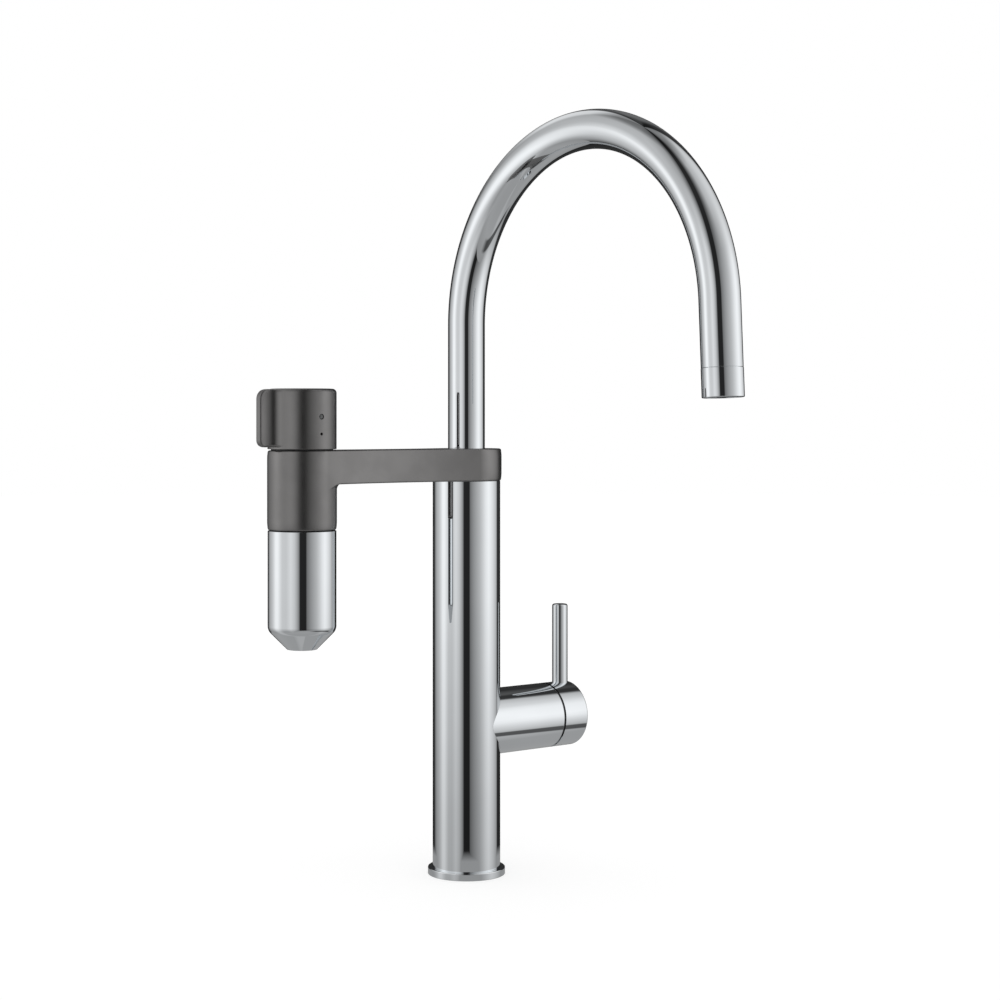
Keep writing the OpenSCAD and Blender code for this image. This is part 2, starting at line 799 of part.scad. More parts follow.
module aerator_insert() {
    color("black") at_outlet() translate([0, 0, spout_leg + 0.15]) difference() {
        union() {
            rod(aerator_bore_r + 0.9 - seat_gap, 1 + fit_gap, aerator_len - 1.2);
            rod(aerator_bore_r - seat_gap, -3, 1.2);
        }
        rod(aerator_bore_r - 1.4, -3 - eps, aerator_len - 3.4);
        for (ring_no = [0 : 2], turn = [0 : 1 : max(6 * ring_no, 1) - 1])
            rotate([0, 0, turn * 360 / max(6 * ring_no, 1)]) translate([2.6 * ring_no, 0, 0])
                rod(0.85, aerator_len - 3.5, aerator_len, $fn = 24);
    }
}

module aerator_washer() {
    color("black") at_outlet() translate([0, 0, spout_leg + 0.15])
        ring(aerator_bore_r - fit_gap, aerator_bore_r - 1.6, -4.6, -3 - fit_gap);
}

// Knob

module knob_body() {
    round_rod(knob_r, knob_foot, knob_top, knob_edge, 0.4);
}

// The blade is a plate with rounded outer corners
module knob_blade() {
    foot = knob_foot + blade_lift;
    top = knob_top - 0.4;
    translate([0, blade_t / 2, 0]) rotate([90, 0, 0]) linear_extrude(height = blade_t) {
        translate([-blade_reach + blade_top_r, foot]) square([blade_reach - blade_top_r, top - foot]);
        translate([-blade_reach, foot + blade_foot_r])
            square([blade_reach, top - foot - blade_foot_r - blade_top_r]);
        translate([-blade_reach + blade_foot_r, foot + blade_foot_r]) circle(r = blade_foot_r);
        translate([-blade_reach + blade_top_r, top - blade_top_r]) circle(r = blade_top_r);
    }
}

// The hollow corners between the blade's sides and the round body
cove_y = blade_t / 2 + cove_r - corner_sink;
cove_x = sqrt(pow(knob_r + cove_r - corner_sink, 2) - cove_y * cove_y);

module knob_coves() {
    foot = knob_foot + blade_lift;
    side_w = cove_y * knob_r / (knob_r + cove_r);
    for (side = [-1, 1]) difference() {
        translate([-cove_x, side > 0 ? 0 : -side_w, foot])
            cube([cove_x - knob_r + 2, side_w, knob_top - knob_edge - foot]);
        translate([-cove_x, side * cove_y, 0]) rod(cove_r, foot - 1, knob_top);
    }
}

module knob_shell() {
    color("dimgray") at_hub() difference() {
        union() {
            knob_body();
            difference() {
                union() {
                    knob_blade();
                    knob_coves();
                }
                rod(knob_r - 1, knob_foot - 1, knob_top + 1);
            }
        }
        rod(knob_bore_r, knob_foot - eps, knob_top - knob_roof);
        translate([0, 0, knob_foot + lamp_z]) rod_y(lamp_d / 2, -knob_r - 1, -knob_bore_r + 2);
        translate([0, 0, knob_foot + reset_z]) rod_y(reset_hole_d / 2, -knob_r - 1, -knob_bore_r + 2);
    }
}

module knob_base_ring() {
    color("black") at_hub()
        ring(knob_bore_r - fit_gap, headwork_hex_r + 0.4, arm_top + seat_gap, knob_foot + 2.4);
}

module knob_carrier() {
    color("dimgray") at_hub() difference() {
        union() {
            rod(carrier_r, carrier_foot, carrier_disc_z + eps);
            rod(knob_bore_r - fit_gap, carrier_disc_z, carrier_disc_z + carrier_disc_h);
        }
        rod(spline_r + fit_gap, carrier_foot - eps, spline_top + fit_gap);
        rod(knob_screw_r + fit_gap, spline_top, knob_top);
        rod(screw_head_r + 0.5, spline_top + web_h, knob_top);
    }
}

module knob_screw() {
    color("gray") at_hub() difference() {
        union() {
            rod(knob_screw_r, carrier_foot + 2, spline_top + web_h + 1);
            rod(screw_head_r, spline_top + web_h + 0.02, spline_top + web_h + screw_head_h);
        }
        rod(1.4, spline_top + web_h + 1.2, knob_top, $fn = 6);
    }
}

module counter_board() {
    color("green") at_hub() translate([-board_w / 2, board_front, knob_foot + 3.6])
        cube([board_w, board_t, lamp_z + 0.5]);
}

module coin_cell() {
    color("lightgray") at_hub() translate([0, 0, carrier_foot + cell_r - 3])
        rod_y(cell_r, carrier_r + 0.3, carrier_r + 0.3 + cell_t);
}

module status_led() {
    color("white") at_hub() translate([-1, board_front - led_depth, knob_foot + lamp_z - 1])
        cube([2, led_depth - 0.02, 2]);
}

module led_lens() {
    color("lightcyan") at_hub() translate([0, 0, knob_foot + lamp_z])
        rod_y(lamp_d / 2 - fit_gap, -knob_r + 0.25, board_front - led_depth - 0.1);
}

module reset_switch() {
    color("black") at_hub() translate([0, 0, knob_foot + reset_z]) difference() {
        translate([-switch_w / 2, board_front - switch_depth, -switch_w / 2])
            cube([switch_w, switch_depth - 0.02, switch_w]);
        rod_y(button_r + fit_gap, board_front - switch_depth - eps, board_front - 0.15);
    }
}

module reset_button() {
    color("gray") at_hub() translate([0, 0, knob_foot + reset_z])
        rod_y(button_r, board_front - 0.8 - button_len, board_front - 0.8);
}

// Filter capsule

module capsule_shell() {
    color("white") at_hub() difference() {
        union() {
            rod(capsule_r, capsule_foot + 2, capsule_top);
            rod(spigot_r, capsule_top - eps, spigot_top);
        }
        rod(capsule_r - capsule_wall, capsule_foot + 2 - eps, capsule_top - capsule_wall);
        rod(spigot_bore_r, capsule_top - capsule_wall - eps, spigot_top + eps);
        for (turn = [0 : 90 : 270]) rotate([0, 0, turn]) translate([(spigot_r + capsule_r) / 2, 0, 0])
            rod(passage_r, capsule_top - capsule_wall - eps, capsule_top + eps);
        for (z = spigot_seal_z) seal_groove(spigot_r, z);
    }
}

module capsule_seal_upper() {
    color("black") at_hub() seal(spigot_r - seal_t + fit_gap, seal_t - fit_gap, spigot_seal_z[1]);
}

module capsule_seal_lower() {
    color("black") at_hub() seal(spigot_r - seal_t + fit_gap, seal_t - fit_gap, spigot_seal_z[0]);
}

module capsule_end_cap() {
    color("lightsteelblue") at_hub() {
        rod(capsule_r, capsule_foot, capsule_foot + 2 - fit_gap);
        rod(capsule_r - capsule_wall - fit_gap, capsule_foot + 1, capsule_foot + 4);
    }
}

module carbon_block() {
    color("black") at_hub()
        rod(capsule_r - capsule_wall - seat_gap, capsule_foot + 4.1, carbon_top);
}

module membrane_bundle() {
    color("azure") at_hub()
        rod(capsule_r - capsule_wall - seat_gap, carbon_top + 0.2, capsule_top - capsule_wall - 0.2);
}

module cup_seal() {
    color("black") at_hub() seal(cup_seal_r, cup_seal_t, cup_top - cup_seal_t + 0.3);
}

// Half section of the cup's outside or inside, its shoulder rounded
module cup_profile(r, end_r, foot, top) {
    cone_h = r - end_r;
    round_r = cup_round;
    run = round_r * tan(22.5);
    polygon(concat(
        [[0, foot], [end_r, foot]],
        [for (i = [0 : 8]) let (turn = 45 - i * 45 / 8)
            [r - round_r + round_r * cos(turn), foot + cone_h + run - round_r * sin(turn)]],
        [[r, top], [0, top]]
    ));
}

module capsule_cup() {
    color("silver") at_hub() difference() {
        union() {
            rotate_extrude() cup_profile(cup_r, cup_end_d / 2, cup_foot, cup_top);
            rod(cup_thread_r, cup_top - eps, cup_top + cup_thread_h);
        }
        rotate_extrude() cup_profile(cup_thread_r - cup_wall, cup_end_d / 2 - 1,
            cup_foot + cup_wall, cup_top + cup_thread_h + eps);
        ring(cup_seal_r + cup_seal_t + fit_gap, cup_seal_r - cup_seal_t - fit_gap,
            cup_top - 2 * cup_seal_t + 0.2, cup_top + eps);
    }
}

base_ring();
base_gasket();
base_manifold();
column_tube();
hot_feed_tube();
cold_feed_tube();
filter_feed_tube();
mixed_water_tube();
top_bush();
filter_arm();
headwork_body();
headwork_fixed_disc();
spout_glide_ring();
spout_retaining_screw();
valve_housing();
cartridge_body();
base_seal_hot();
base_seal_cold();
base_seal_mixed();
cartridge_fixed_disc();
retaining_nut();
dome_cover();
handle_glide_ring();
cartridge_carrier();
stem_pin();
control_disc();
disc_driver();
lever_stem();
handle_cap();
pin_lever();
handle_grub_screw();
screw_plug();
spout_tube();
spout_nipple();
spout_seal_lower();
spout_seal_middle();
spout_seal_upper();
aerator_sleeve();
aerator_insert();
aerator_washer();
knob_shell();
knob_carrier();
knob_base_ring();
knob_screw();
headwork_spindle();
headwork_turning_disc();
counter_board();
coin_cell();
status_led();
led_lens();
reset_switch();
reset_button();
capsule_shell();
capsule_end_cap();
carbon_block();
membrane_bundle();
capsule_seal_upper();
capsule_seal_lower();
cup_seal();
capsule_cup();
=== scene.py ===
"""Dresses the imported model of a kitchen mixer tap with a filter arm, and sets it in a small studio.

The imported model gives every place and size. Each visible piece is built here as a finer mesh in millimetres,
with rounded edges and a procedural finish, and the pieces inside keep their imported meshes.
The column stands on +Z, the filter arm points to -X, the mixing valve to +X and the spout to -Y.
"""
import json
import math
from typing import NamedTuple

import bmesh
import bpy
from bpy.props import FloatProperty, FloatVectorProperty, IntProperty, PointerProperty
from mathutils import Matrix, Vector


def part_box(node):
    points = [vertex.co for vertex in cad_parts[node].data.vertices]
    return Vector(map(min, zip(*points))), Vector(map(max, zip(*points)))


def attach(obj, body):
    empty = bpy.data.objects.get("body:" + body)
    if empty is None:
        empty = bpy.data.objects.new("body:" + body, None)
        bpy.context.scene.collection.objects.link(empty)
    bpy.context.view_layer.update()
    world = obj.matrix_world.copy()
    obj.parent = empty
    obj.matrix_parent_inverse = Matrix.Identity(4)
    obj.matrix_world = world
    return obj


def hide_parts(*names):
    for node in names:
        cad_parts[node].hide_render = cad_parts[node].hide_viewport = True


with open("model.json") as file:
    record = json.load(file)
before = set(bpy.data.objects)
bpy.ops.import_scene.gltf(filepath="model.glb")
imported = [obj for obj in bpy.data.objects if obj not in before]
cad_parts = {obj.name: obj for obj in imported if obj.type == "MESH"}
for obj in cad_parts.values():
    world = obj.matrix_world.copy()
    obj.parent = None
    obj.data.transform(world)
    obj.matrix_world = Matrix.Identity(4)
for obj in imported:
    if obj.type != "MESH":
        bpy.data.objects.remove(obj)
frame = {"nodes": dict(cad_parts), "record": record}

bl_info = {
    "name": "Mixer tap with a filter arm",
    "version": (1, 0, 0),
    "blender": (4, 5, 0),
    "location": "3D View > Sidebar > Mixer tap",
    "description": "Builds the visible pieces of a filter mixer tap round its packed model",
    "category": "Object",
}

MM = 0.001
FULL_TURN = 2 * math.pi
# A point of a turned line with no more than this radius lies on the axis.
ON_AXIS = 1e-6
COAT_ROUGHNESS = 0.05
PLAIN_GREY = 0.5
FLOOR_Z = -0.0001
SENSOR_WIDTH = 36.0

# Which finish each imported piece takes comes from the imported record.
NODE_FINISH = {part["node"]: part["material_slot"] for part in frame["record"]["subparts"]}


def span(node):
    """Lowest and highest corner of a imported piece, in millimetres."""
    low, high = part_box(node)
    return low / MM, high / MM


class Sizes:
    """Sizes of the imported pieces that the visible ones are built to, in millimetres."""

    column_low, column_high = span("column_tube")
    column_r = (column_high.x - column_low.x) / 2
    column_top = column_high.z
    column_wall = 1.6

    clearance = 0.05
    inner_edge = 0.2

    ring_low, ring_high = span("base_ring")
    ring_r = (ring_high.x - ring_low.x) / 2
    ring_h = ring_high.z
    ring_edge = 0.6
    ring_bore_edge = 0.15
    ring_ledge = 1.6
    ring_bore_r = column_r - 3
    gasket_low, gasket_high = span("base_gasket")
    gasket_r = (gasket_high.x - gasket_low.x) / 2
    gasket_w = 1.4
    gasket_h = gasket_high.z

    housing_low, housing_high = span("valve_housing")
    valve_r = (housing_high.y - housing_low.y) / 2
    valve_z = (housing_high.z + housing_low.z) / 2
    housing_end = housing_high.x
    saddle_r = column_r + 0.02
    pivot_x = housing_end - 7.3
    cartridge_r = 17.6
    cartridge_seat = pivot_x - 28
    swing_r = math.hypot(housing_end - pivot_x, valve_r)
    dome_t = 1.2
    dome_opening_r = 14.2
    dome_gap = 1.15
    dome_start = housing_end + dome_gap - pivot_x
    skirt_outer_r = cartridge_r - 0.1
    skirt_inner_r = cartridge_r - 1.3
    skirt_foot = 4.4
    skirt_top = 10.0
    cap_gap = 0.5
    cap_end = span("handle_cap")[1].x
    handle_edge = 1.2
    boss_r = 6.3
    boss_x = pivot_x + 13
    grub_x = pivot_x + 17
    plug_hole_r = 2.5 + clearance
    plug_hole_l = 4.1
    plug_hole_edge = 0.25

    lever_low, lever_high = span("pin_lever")
    lever_r = (lever_high.x - lever_low.x) / 2
    lever_x = (lever_high.x + lever_low.x) / 2
    lever_top = lever_high.z
    lever_seat = valve_z + 15.65

    spout_low, spout_high = span("spout_tube")
    spout_r = spout_high.x
    spout_foot = spout_low.z
    spout_wall = 1.2
    bend_r = 104.0
    bend_z = spout_high.z - bend_r - spout_r
    bend_sweep = math.radians(177.2)
    outlet_l = 34.3
    sleeve_gap = 0.15
    sleeve_r = span("aerator_sleeve")[1].x - 0.002
    sleeve_l = 15.2
    sleeve_bore_r = 8.3
    sleeve_lip = 0.9
    sleeve_neck_l = 7.0
    sleeve_ledge = 1.0
    sleeve_edge = 0.5
    sleeve_bore_edge = 0.3

    arm_low, arm_high = span("filter_arm")
    collar_r = arm_high.x
    arm_top = arm_high.z
    arm_foot = column_top + clearance
    head_foot = arm_low.z
    reach = 117.0
    head_r = -arm_low.x - reach
    waist = 12.0
    barrel = 0.45
    barrel_band = 5.0
    corner_r = 2.8
    mouth_r = spout_r + 0.35
    mouth_depth = 3.2
    mouth_edge = 0.35
    mouth_rim = 1.0
    screw_z = column_top + 12.2
    screw_hole_r = 2.5 + clearance
    screw_hole_l = 11.5
    screw_hole_edge = 0.2
    head_edge = 0.8
    neck_edge = 0.3
    head_bore_edge = 0.6
    socket_edge = 0.4
    neck_bore_r = 16.55
    neck_bore_top = head_foot + 11
    head_bore_r = 15.8
    socket_r = 7.0
    socket_top = arm_top - 15.2
    head_bore_top = socket_top - 8

    knob_low, knob_high = span("knob_shell")
    knob_foot = knob_low.z
    knob_top = knob_high.z
    knob_r = (knob_high.y - knob_low.y) / 2
    knob_bore_r = knob_r - 1.8
    knob_roof = 2.2
    knob_edge = 2.4
    knob_foot_edge = 0.4
    knob_roof_edge = 0.6
    blade_reach = -knob_low.x - reach
    blade_t = 4.5
    blade_top_r = 5.5
    blade_foot_r = 4.0
    blade_lift = 1.2
    blade_drop = 0.4
    cove_r = 10.0
    cove_share = 0.9
    lamp_z = knob_foot + 18
    lamp_r = 1.5
    reset_z = knob_foot + 8.5
    reset_r = 0.75
    outer_rim = 0.16
    inner_rim = -0.05
    lens_bulge = 0.35

    cup_low, cup_high = span("capsule_cup")
    cup_r = (cup_high.y - cup_low.y) / 2
    cup_foot = cup_low.z
    cup_neck_h = 10.0
    cup_top = cup_high.z - cup_neck_h
    cup_end_r = 8.3
    cup_end_edge = 0.5
    cup_round = 6.0
    cup_neck_r = 16.5
    cup_wall = 1.6
    cup_pitch = 3.0
    thread_start = 0.8
    thread_fade = 1.2
    thread_end = 0.4
    thread_slope = 1.6
    seal_groove_r = cup_neck_r + 1.3
    seal_groove_w = 0.75
    seal_groove_h = 1.2


# Meshes


def polar(radius, turn, x=0.0, y=0.0):
    """A point at a radius and an angle about a centre."""
    return x + radius * math.cos(turn), y + radius * math.sin(turn)


def leg(longest, other):
    """The third side of a right-angled triangle."""
    return math.sqrt(longest ** 2 - other ** 2)


def spread(start, end, steps):
    """Evenly spread values, the ends included."""
    return [start + (end - start) * i / steps for i in range(steps + 1)]


def circle(count):
    """The angles of evenly spread points on a circle."""
    return [FULL_TURN * j / count for j in range(count)]


def edge_drop(depth, radius):
    """How far a rounded edge of that radius has drawn in, at a depth from the face."""
    return radius - leg(radius, radius - depth) if depth < radius else 0.0


def ease(share):
    """A smooth step from 0 to 1."""
    share = min(max(share, 0.0), 1.0)
    return share * share * (3 - 2 * share)


def arc(centre, radius, start, end, steps):
    """Points on an arc, its ends included. Angles are in radians."""
    return [polar(radius, turn, *centre) for turn in spread(start, end, steps)]


def quarter(radius, turns):
    """How far a rounded edge lies inside its two faces, at angles from the one face to the other."""
    return [(radius * (1 - math.sin(a)), radius * (1 - math.cos(a))) for a in turns]


def ball_line(ball_r, start_r, end_r, steps):
    """Points on a ball round the handle's pivot, from one distance off the valve's axis to another."""
    turns = spread(math.asin(start_r / ball_r), math.asin(end_r / ball_r), steps)
    return [(ball_r * math.sin(t), Sizes.pivot_x + ball_r * math.cos(t)) for t in turns]


def rounded(corners, steps):
    """A closed line through the corners. A corner (a, b, radius) is rounded to that radius."""
    line = []
    for i, corner in enumerate(corners):
        if len(corner) == 2:
            line.append(corner)
            continue
        here = Vector(corner[:2])
        back = (Vector(corners[i - 1][:2]) - here).normalized()
        ahead = (Vector(corners[(i + 1) % len(corners)][:2]) - here).normalized()
        half = back.angle(ahead) / 2
        centre = here + (back + ahead).normalized() * (corner[2] / math.sin(half))
        run = corner[2] / math.tan(half)
        first = here + back * run - centre
        last = here + ahead * run - centre
        start = math.atan2(first.y, first.x)
        turn = math.atan2(last.y, last.x) - start
        turn = (turn + math.pi) % FULL_TURN - math.pi
        line += arc(centre, corner[2], start, start + turn, steps)
    return line


class Skin:
    """The points and faces of one piece while it is built, in millimetres."""

    def __init__(self):
        self.points = []
        self.faces = []

    def add(self, points):
        """Adds points and gives their numbers."""
        first = len(self.points)
        self.points += [tuple(p) for p in points]
        return list(range(first, len(self.points)))

    def bridge(self, a, b, loop=True, gaps=()):
        """Joins two lines of points by quads, or by a fan where one is a point. Columns in gaps stay open."""
        count = max(len(a), len(b))
        for j in range(count if loop else count - 1):
            if any(low <= j < high for low, high in gaps):
                continue
            k = (j + 1) % count
            corners = [a[j % len(a)], a[k % len(a)], b[k % len(b)], b[j % len(b)]]
            face = [c for i, c in enumerate(corners) if c != corners[i - 1]]
            if len(face) > 2:
                self.faces.append(face)

    def stack(self, rings):
        """Joins each ring to the next."""
        for a, b in zip(rings, rings[1:]):
            self.bridge(a, b)

    def ring(self, place, r, h, turns):
        """Adds the points of a ring, or one point where it lies on the axis.
        place(radius, angle, height) gives a point."""
        return self.add(place(r, turn, h) for turn in (turns if r > ON_AXIS else [0]))

    def revolve(self, line, place, count, gaps=None):
        """Turns a closed line of (radius, height) points about an axis, in count steps, and gives the rings.
        gaps holds the columns to leave open after a row of the line."""
        rings = [self.ring(place, r, h, circle(count)) for r, h in line]
        for i, ring in enumerate(rings):
            following = rings[(i + 1) % len(rings)]
            if len(ring) > 1 or len(following) > 1:
                self.bridge(ring, following, gaps=(gaps or {}).get(i, ()))
        return rings

    def drill(self, rows, columns, place, radius, edge):
        """Fills an opening left in a wall with quads that run to a round hole, and gives the hole's last ring
        and its angles. place(across, up, deep) gives a point, measured from the hole's centre in the wall."""
        low, high = columns
        width, height = high - low, len(rows) - 1
        border = [rows[0][low + j] for j in range(width)]
        border += [rows[i][high] for i in range(height)]
        border += [rows[height][high - j] for j in range(width)]
        border += [rows[height - i][low] for i in range(height)]
        flat = [place.flatten(self.points[i]) for i in border]
        turns = [math.atan2(v, u) for u, v in flat]
        rest = [Vector(self.points[i]) - Vector(place(*f, 0)) for i, f in zip(border, flat)]
        made = [border]
        for share in spread(0, 1, 4)[1:]:
            ring = []
            for (u, v), turn, off in zip(flat, turns, rest):
                a, b = polar(radius + edge, turn)
                ring.append(Vector(place(u + (a - u) * share, v + (b - v) * share, 0)) + off * (1 - share))
            made.append(self.add(ring))
        for wider, deep in quarter(edge, spread(0, math.pi / 2, 3)[1:]):
            made.append(self.add(place(*polar(radius + wider, t), deep) for t in turns))
        self.stack(made)
        return made[-1], turns

    def sink(self, hole, place, radius, depth):
        """A round bore of that depth with a flat floor."""
        loop, turns = hole
        floor = self.add(place(*polar(radius, t), depth) for t in turns)
        self.stack([loop, floor, self.add([place(0, 0, depth)])])


class DrillSide:
    """Places the points of a hole in a cylinder's wall. It runs along aim, and up is the cylinder's axis."""

    def __init__(self, centre, aim, up, radius):
        self.centre, self.aim, self.up = Vector(centre), Vector(aim), Vector(up)
        self.across = self.up.cross(self.aim)
        self.radius = radius

    def __call__(self, across, up, deep):
        out = leg(self.radius, across) - deep
        return tuple(self.centre - self.aim * out + self.across * across + self.up * up)

    def flatten(self, point):
        """How far a point of the wall lies across and up from the hole's centre."""
        away = Vector(point) - self.centre
        return away.dot(self.across), away.dot(self.up)


def upright(x, y):
    """Places turned points about a vertical axis."""
    return lambda r, turn, h: (*polar(r, turn, x, y), h)


def sideways(z):
    """Places turned points about the valve's axis, which runs along X."""
    return lambda r, turn, h: (h, *polar(r, turn, 0, z))


def piece(name, skin, body, finish, nodes, sharp=32.0, fill=()):
    """Makes an object of a skin: shades it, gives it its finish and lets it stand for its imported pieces.
    fill holds the loops of points between which a flat face is filled in."""
    mesh = bpy.data.meshes.new(name)
    mesh.from_pydata([Vector(p) * MM for p in skin.points], [], skin.faces)
    edit = bmesh.new()
    edit.from_mesh(mesh)
    edit.verts.ensure_lookup_table()
    edges = [edit.edges.get((edit.verts[a], edit.verts[b]))
             for loop in fill for a, b in zip(loop, loop[1:] + loop[:1])]
    if edges:
        bmesh.ops.triangle_fill(edit, edges=edges, use_beauty=True)
    bmesh.ops.recalc_face_normals(edit, faces=edit.faces)
    edit.to_mesh(mesh)
    edit.free()
    mesh.shade_smooth()
    mesh.set_sharp_from_angle(angle=math.radians(sharp))
    made = bpy.data.objects.new(name, mesh)
    bpy.context.scene.collection.objects.link(made)
    weighted = made.modifiers.new("Flat faces stay flat", "WEIGHTED_NORMAL")
    weighted.keep_sharp = True
    weighted.weight = 60
    mesh.materials.append(finish_material(finish))
    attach(made, body)
    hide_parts(*nodes)


def turned_piece(name, line, place, count, body, finish, nodes):
    """Makes a piece of one closed line turned about an axis."""
    skin = Skin()
    skin.revolve(line, place, count)
    piece(name, skin, body, finish, nodes)


# Node groups and finishes


def node_group(name, inputs, outputs):
    """An empty shader node group with named sockets, its input node and its output node."""
    group = bpy.data.node_groups.new(name, "ShaderNodeTree")
    for label, kind, value in inputs:
        socket = group.interface.new_socket(name=label, in_out="INPUT", socket_type=kind)
        if value is not None:
            socket.default_value = value
    for label, kind in outputs:
        group.interface.new_socket(name=label, in_out="OUTPUT", socket_type=kind)
    return group, group.nodes.new("NodeGroupInput"), group.nodes.new("NodeGroupOutput")


def lay_out(tree):
    """Sets the nodes out in columns, each right of what feeds it, so that the tree can be read."""
    depth = {n: 0 for n in tree.nodes}
    for _ in range(len(tree.nodes)):
        for link in tree.links:
            depth[link.to_node] = max(depth[link.to_node], depth[link.from_node] + 1)
    rows = {}
    for n in tree.nodes:
        row = rows.get(depth[n], 0)
        n.location = (220 * depth[n], -260 * row)
        rows[depth[n]] = row + 1


def feed(tree, socket, value):
    """Links an input to a socket, or sets it to a plain value. Nothing is done for None."""
    if isinstance(value, bpy.types.NodeSocket):
        tree.links.new(value, socket)
    elif value is not None:
        socket.default_value = value


def shader_node(tree, kind, inputs=None, **settings):
    """Adds a shader node with its settings and feeds its inputs, given by their names or numbers."""
    made = tree.nodes.new("ShaderNode" + kind)
    for name, value in settings.items():
        setattr(made, name, value)
    for key, value in (inputs or {}).items():
        feed(tree, made.inputs[key], value)
    return made


def math_node(tree, operation, a, b=None, c=None, clamp=False):
    """A math node whose inputs are sockets or numbers. It gives the result's socket."""
    return shader_node(tree, "Math", {0: a, 1: b, 2: c}, operation=operation, use_clamp=clamp).outputs[0]


def mix_colour(tree, factor, a, b):
    """A colour mix node. It gives the result's socket."""
    return shader_node(tree, "Mix", {0: factor, 6: a, 7: b}, data_type="RGBA").outputs[2]


def mix_shader(tree, factor, a, b):
    """A shader mix. It gives the result's socket."""
    return shader_node(tree, "MixShader", {0: factor, 1: a, 2: b}).outputs[0]


def emission(tree, colour):
    """A glowing surface of strength 1. It gives the shader's socket."""
    return shader_node(tree, "Emission", {"Color": colour}).outputs[0]


def map_range(tree, value, low, high, to_low, to_high):
    """A smooth step of a value from one range to another."""
    ranges = {0: value, 1: low, 2: high, 3: to_low, 4: to_high}
    return shader_node(tree, "MapRange", ranges, interpolation_type="SMOOTHSTEP").outputs[0]


def noise(tree, vector, scale, detail, roughness=0.5):
    """A noise texture. It gives the value's socket."""
    inputs = {"Vector": vector, "Scale": scale, "Detail": detail, "Roughness": roughness}
    return shader_node(tree, "TexNoise", inputs).outputs["Fac"]


def bump(tree, distance, height, normal=None):
    """A bump of that depth in metres. It gives the normal's socket."""
    return shader_node(tree, "Bump", {"Distance": distance, "Height": height, "Normal": normal}).outputs[0]


def make_surface_grain():
    """Clouded colour, cloudy roughness and a fine bumpy grain, for moulded, cast and plated surfaces."""
    group, given, result = node_group(
        "Surface grain",
        [("Vector", "NodeSocketVector", None), ("Colour", "NodeSocketColor", (0.5, 0.5, 0.5, 1)),
         ("Cloud Colour", "NodeSocketColor", (0.4, 0.4, 0.4, 1)), ("Cloud Scale", "NodeSocketFloat", 30.0),
         ("Grain Scale", "NodeSocketFloat", 2500.0), ("Low Roughness", "NodeSocketFloat", 0.3),
         ("High Roughness", "NodeSocketFloat", 0.4)],
        [("Colour", "NodeSocketColor"), ("Roughness", "NodeSocketFloat"), ("Height", "NodeSocketFloat")])
    vector = given.outputs["Vector"]
    cloud = noise(group, vector, given.outputs["Cloud Scale"], 3.0)
    grain = noise(group, vector, given.outputs["Grain Scale"], 2.0, 0.6)
    patch = map_range(group, cloud, 0.35, 0.65, 0.0, 1.0)
    blend = math_node(group, "MULTIPLY_ADD", grain, 0.4, math_node(group, "MULTIPLY", patch, 0.6))
    feed(group, result.inputs["Colour"],
         mix_colour(group, patch, given.outputs["Colour"], given.outputs["Cloud Colour"]))
    feed(group, result.inputs["Roughness"],
         map_range(group, blend, 0.0, 1.0, given.outputs["Low Roughness"], given.outputs["High Roughness"]))
    feed(group, result.inputs["Height"], grain)
    lay_out(group)
    return group


def make_drawn_lines():
    """Fine lines that run round or along a piece, as drawing, turning or wiping leaves them."""
    group, given, result = node_group(
        "Drawn lines",
        [("Vector", "NodeSocketVector", None), ("Stretch", "NodeSocketVector", (1.0, 1.0, 20.0)),
         ("Scale", "NodeSocketFloat", 300.0), ("Strength", "NodeSocketFloat", 0.1)],
        [("Roughness", "NodeSocketFloat"), ("Height", "NodeSocketFloat")])
    stretched = shader_node(group, "VectorMath", {0: given.outputs["Vector"], 1: given.outputs["Stretch"]},
                            operation="MULTIPLY").outputs[0]
    lines = noise(group, stretched, given.outputs["Scale"], 4.0, 0.7)
    feed(group, result.inputs["Roughness"], math_node(group, "MULTIPLY", lines, given.outputs["Strength"]))
    feed(group, result.inputs["Height"], lines)
    lay_out(group)
    return group


def make_edge_wear():
    """A mask that is bright along outer edges, broken up by noise."""
    group, given, result = node_group(
        "Edge wear",
        [("Vector", "NodeSocketVector", None), ("Amount", "NodeSocketFloat", 0.3)],
        [("Mask", "NodeSocketFloat")])
    shape = shader_node(group, "NewGeometry")
    edge = map_range(group, shape.outputs["Pointiness"], 0.52, 0.62, 0.0, 1.0)
    breakup = map_range(group, noise(group, given.outputs["Vector"], 400.0, 4.0, 0.6), 0.35, 0.6, 0.3, 1.0)
    worn = math_node(group, "MULTIPLY", edge, breakup)
    mask = math_node(group, "MULTIPLY", worn, given.outputs["Amount"], clamp=True)
    feed(group, result.inputs["Mask"], mask)
    lay_out(group)
    return group


SHARED_GROUPS = {
    "Surface grain": make_surface_grain, "Drawn lines": make_drawn_lines, "Edge wear": make_edge_wear}


def place_group(tree, name, vector, values):
    """Puts a shared node group in a material, with the point's place and the group's own values."""
    made = tree.nodes.new("ShaderNodeGroup")
    made.node_tree = bpy.data.node_groups.get(name) or SHARED_GROUPS[name]()
    for label, value in {"Vector": vector, **values}.items():
        feed(tree, made.inputs[label], value)
    return made.outputs


class Finish(NamedTuple):
    """What one finish looks like. Colours are linear, lengths are in metres."""

    colour: tuple
    cloud: tuple
    metallic: float
    low: float
    high: float
    cloud_scale: float
    grain_scale: float
    bump: float
    stretch: tuple = None
    line_scale: float = 300.0
    line_rough: float = 0.0
    line_bump: float = 0.0
    wear: float = 0.0
    wear_colour: tuple = (0.8, 0.8, 0.8)
    coat: float = 0.0
    specular: float = 0.5


ROUND_LINES = (1.0, 1.0, 30.0)
LONG_LINES = (30.0, 30.0, 1.0)


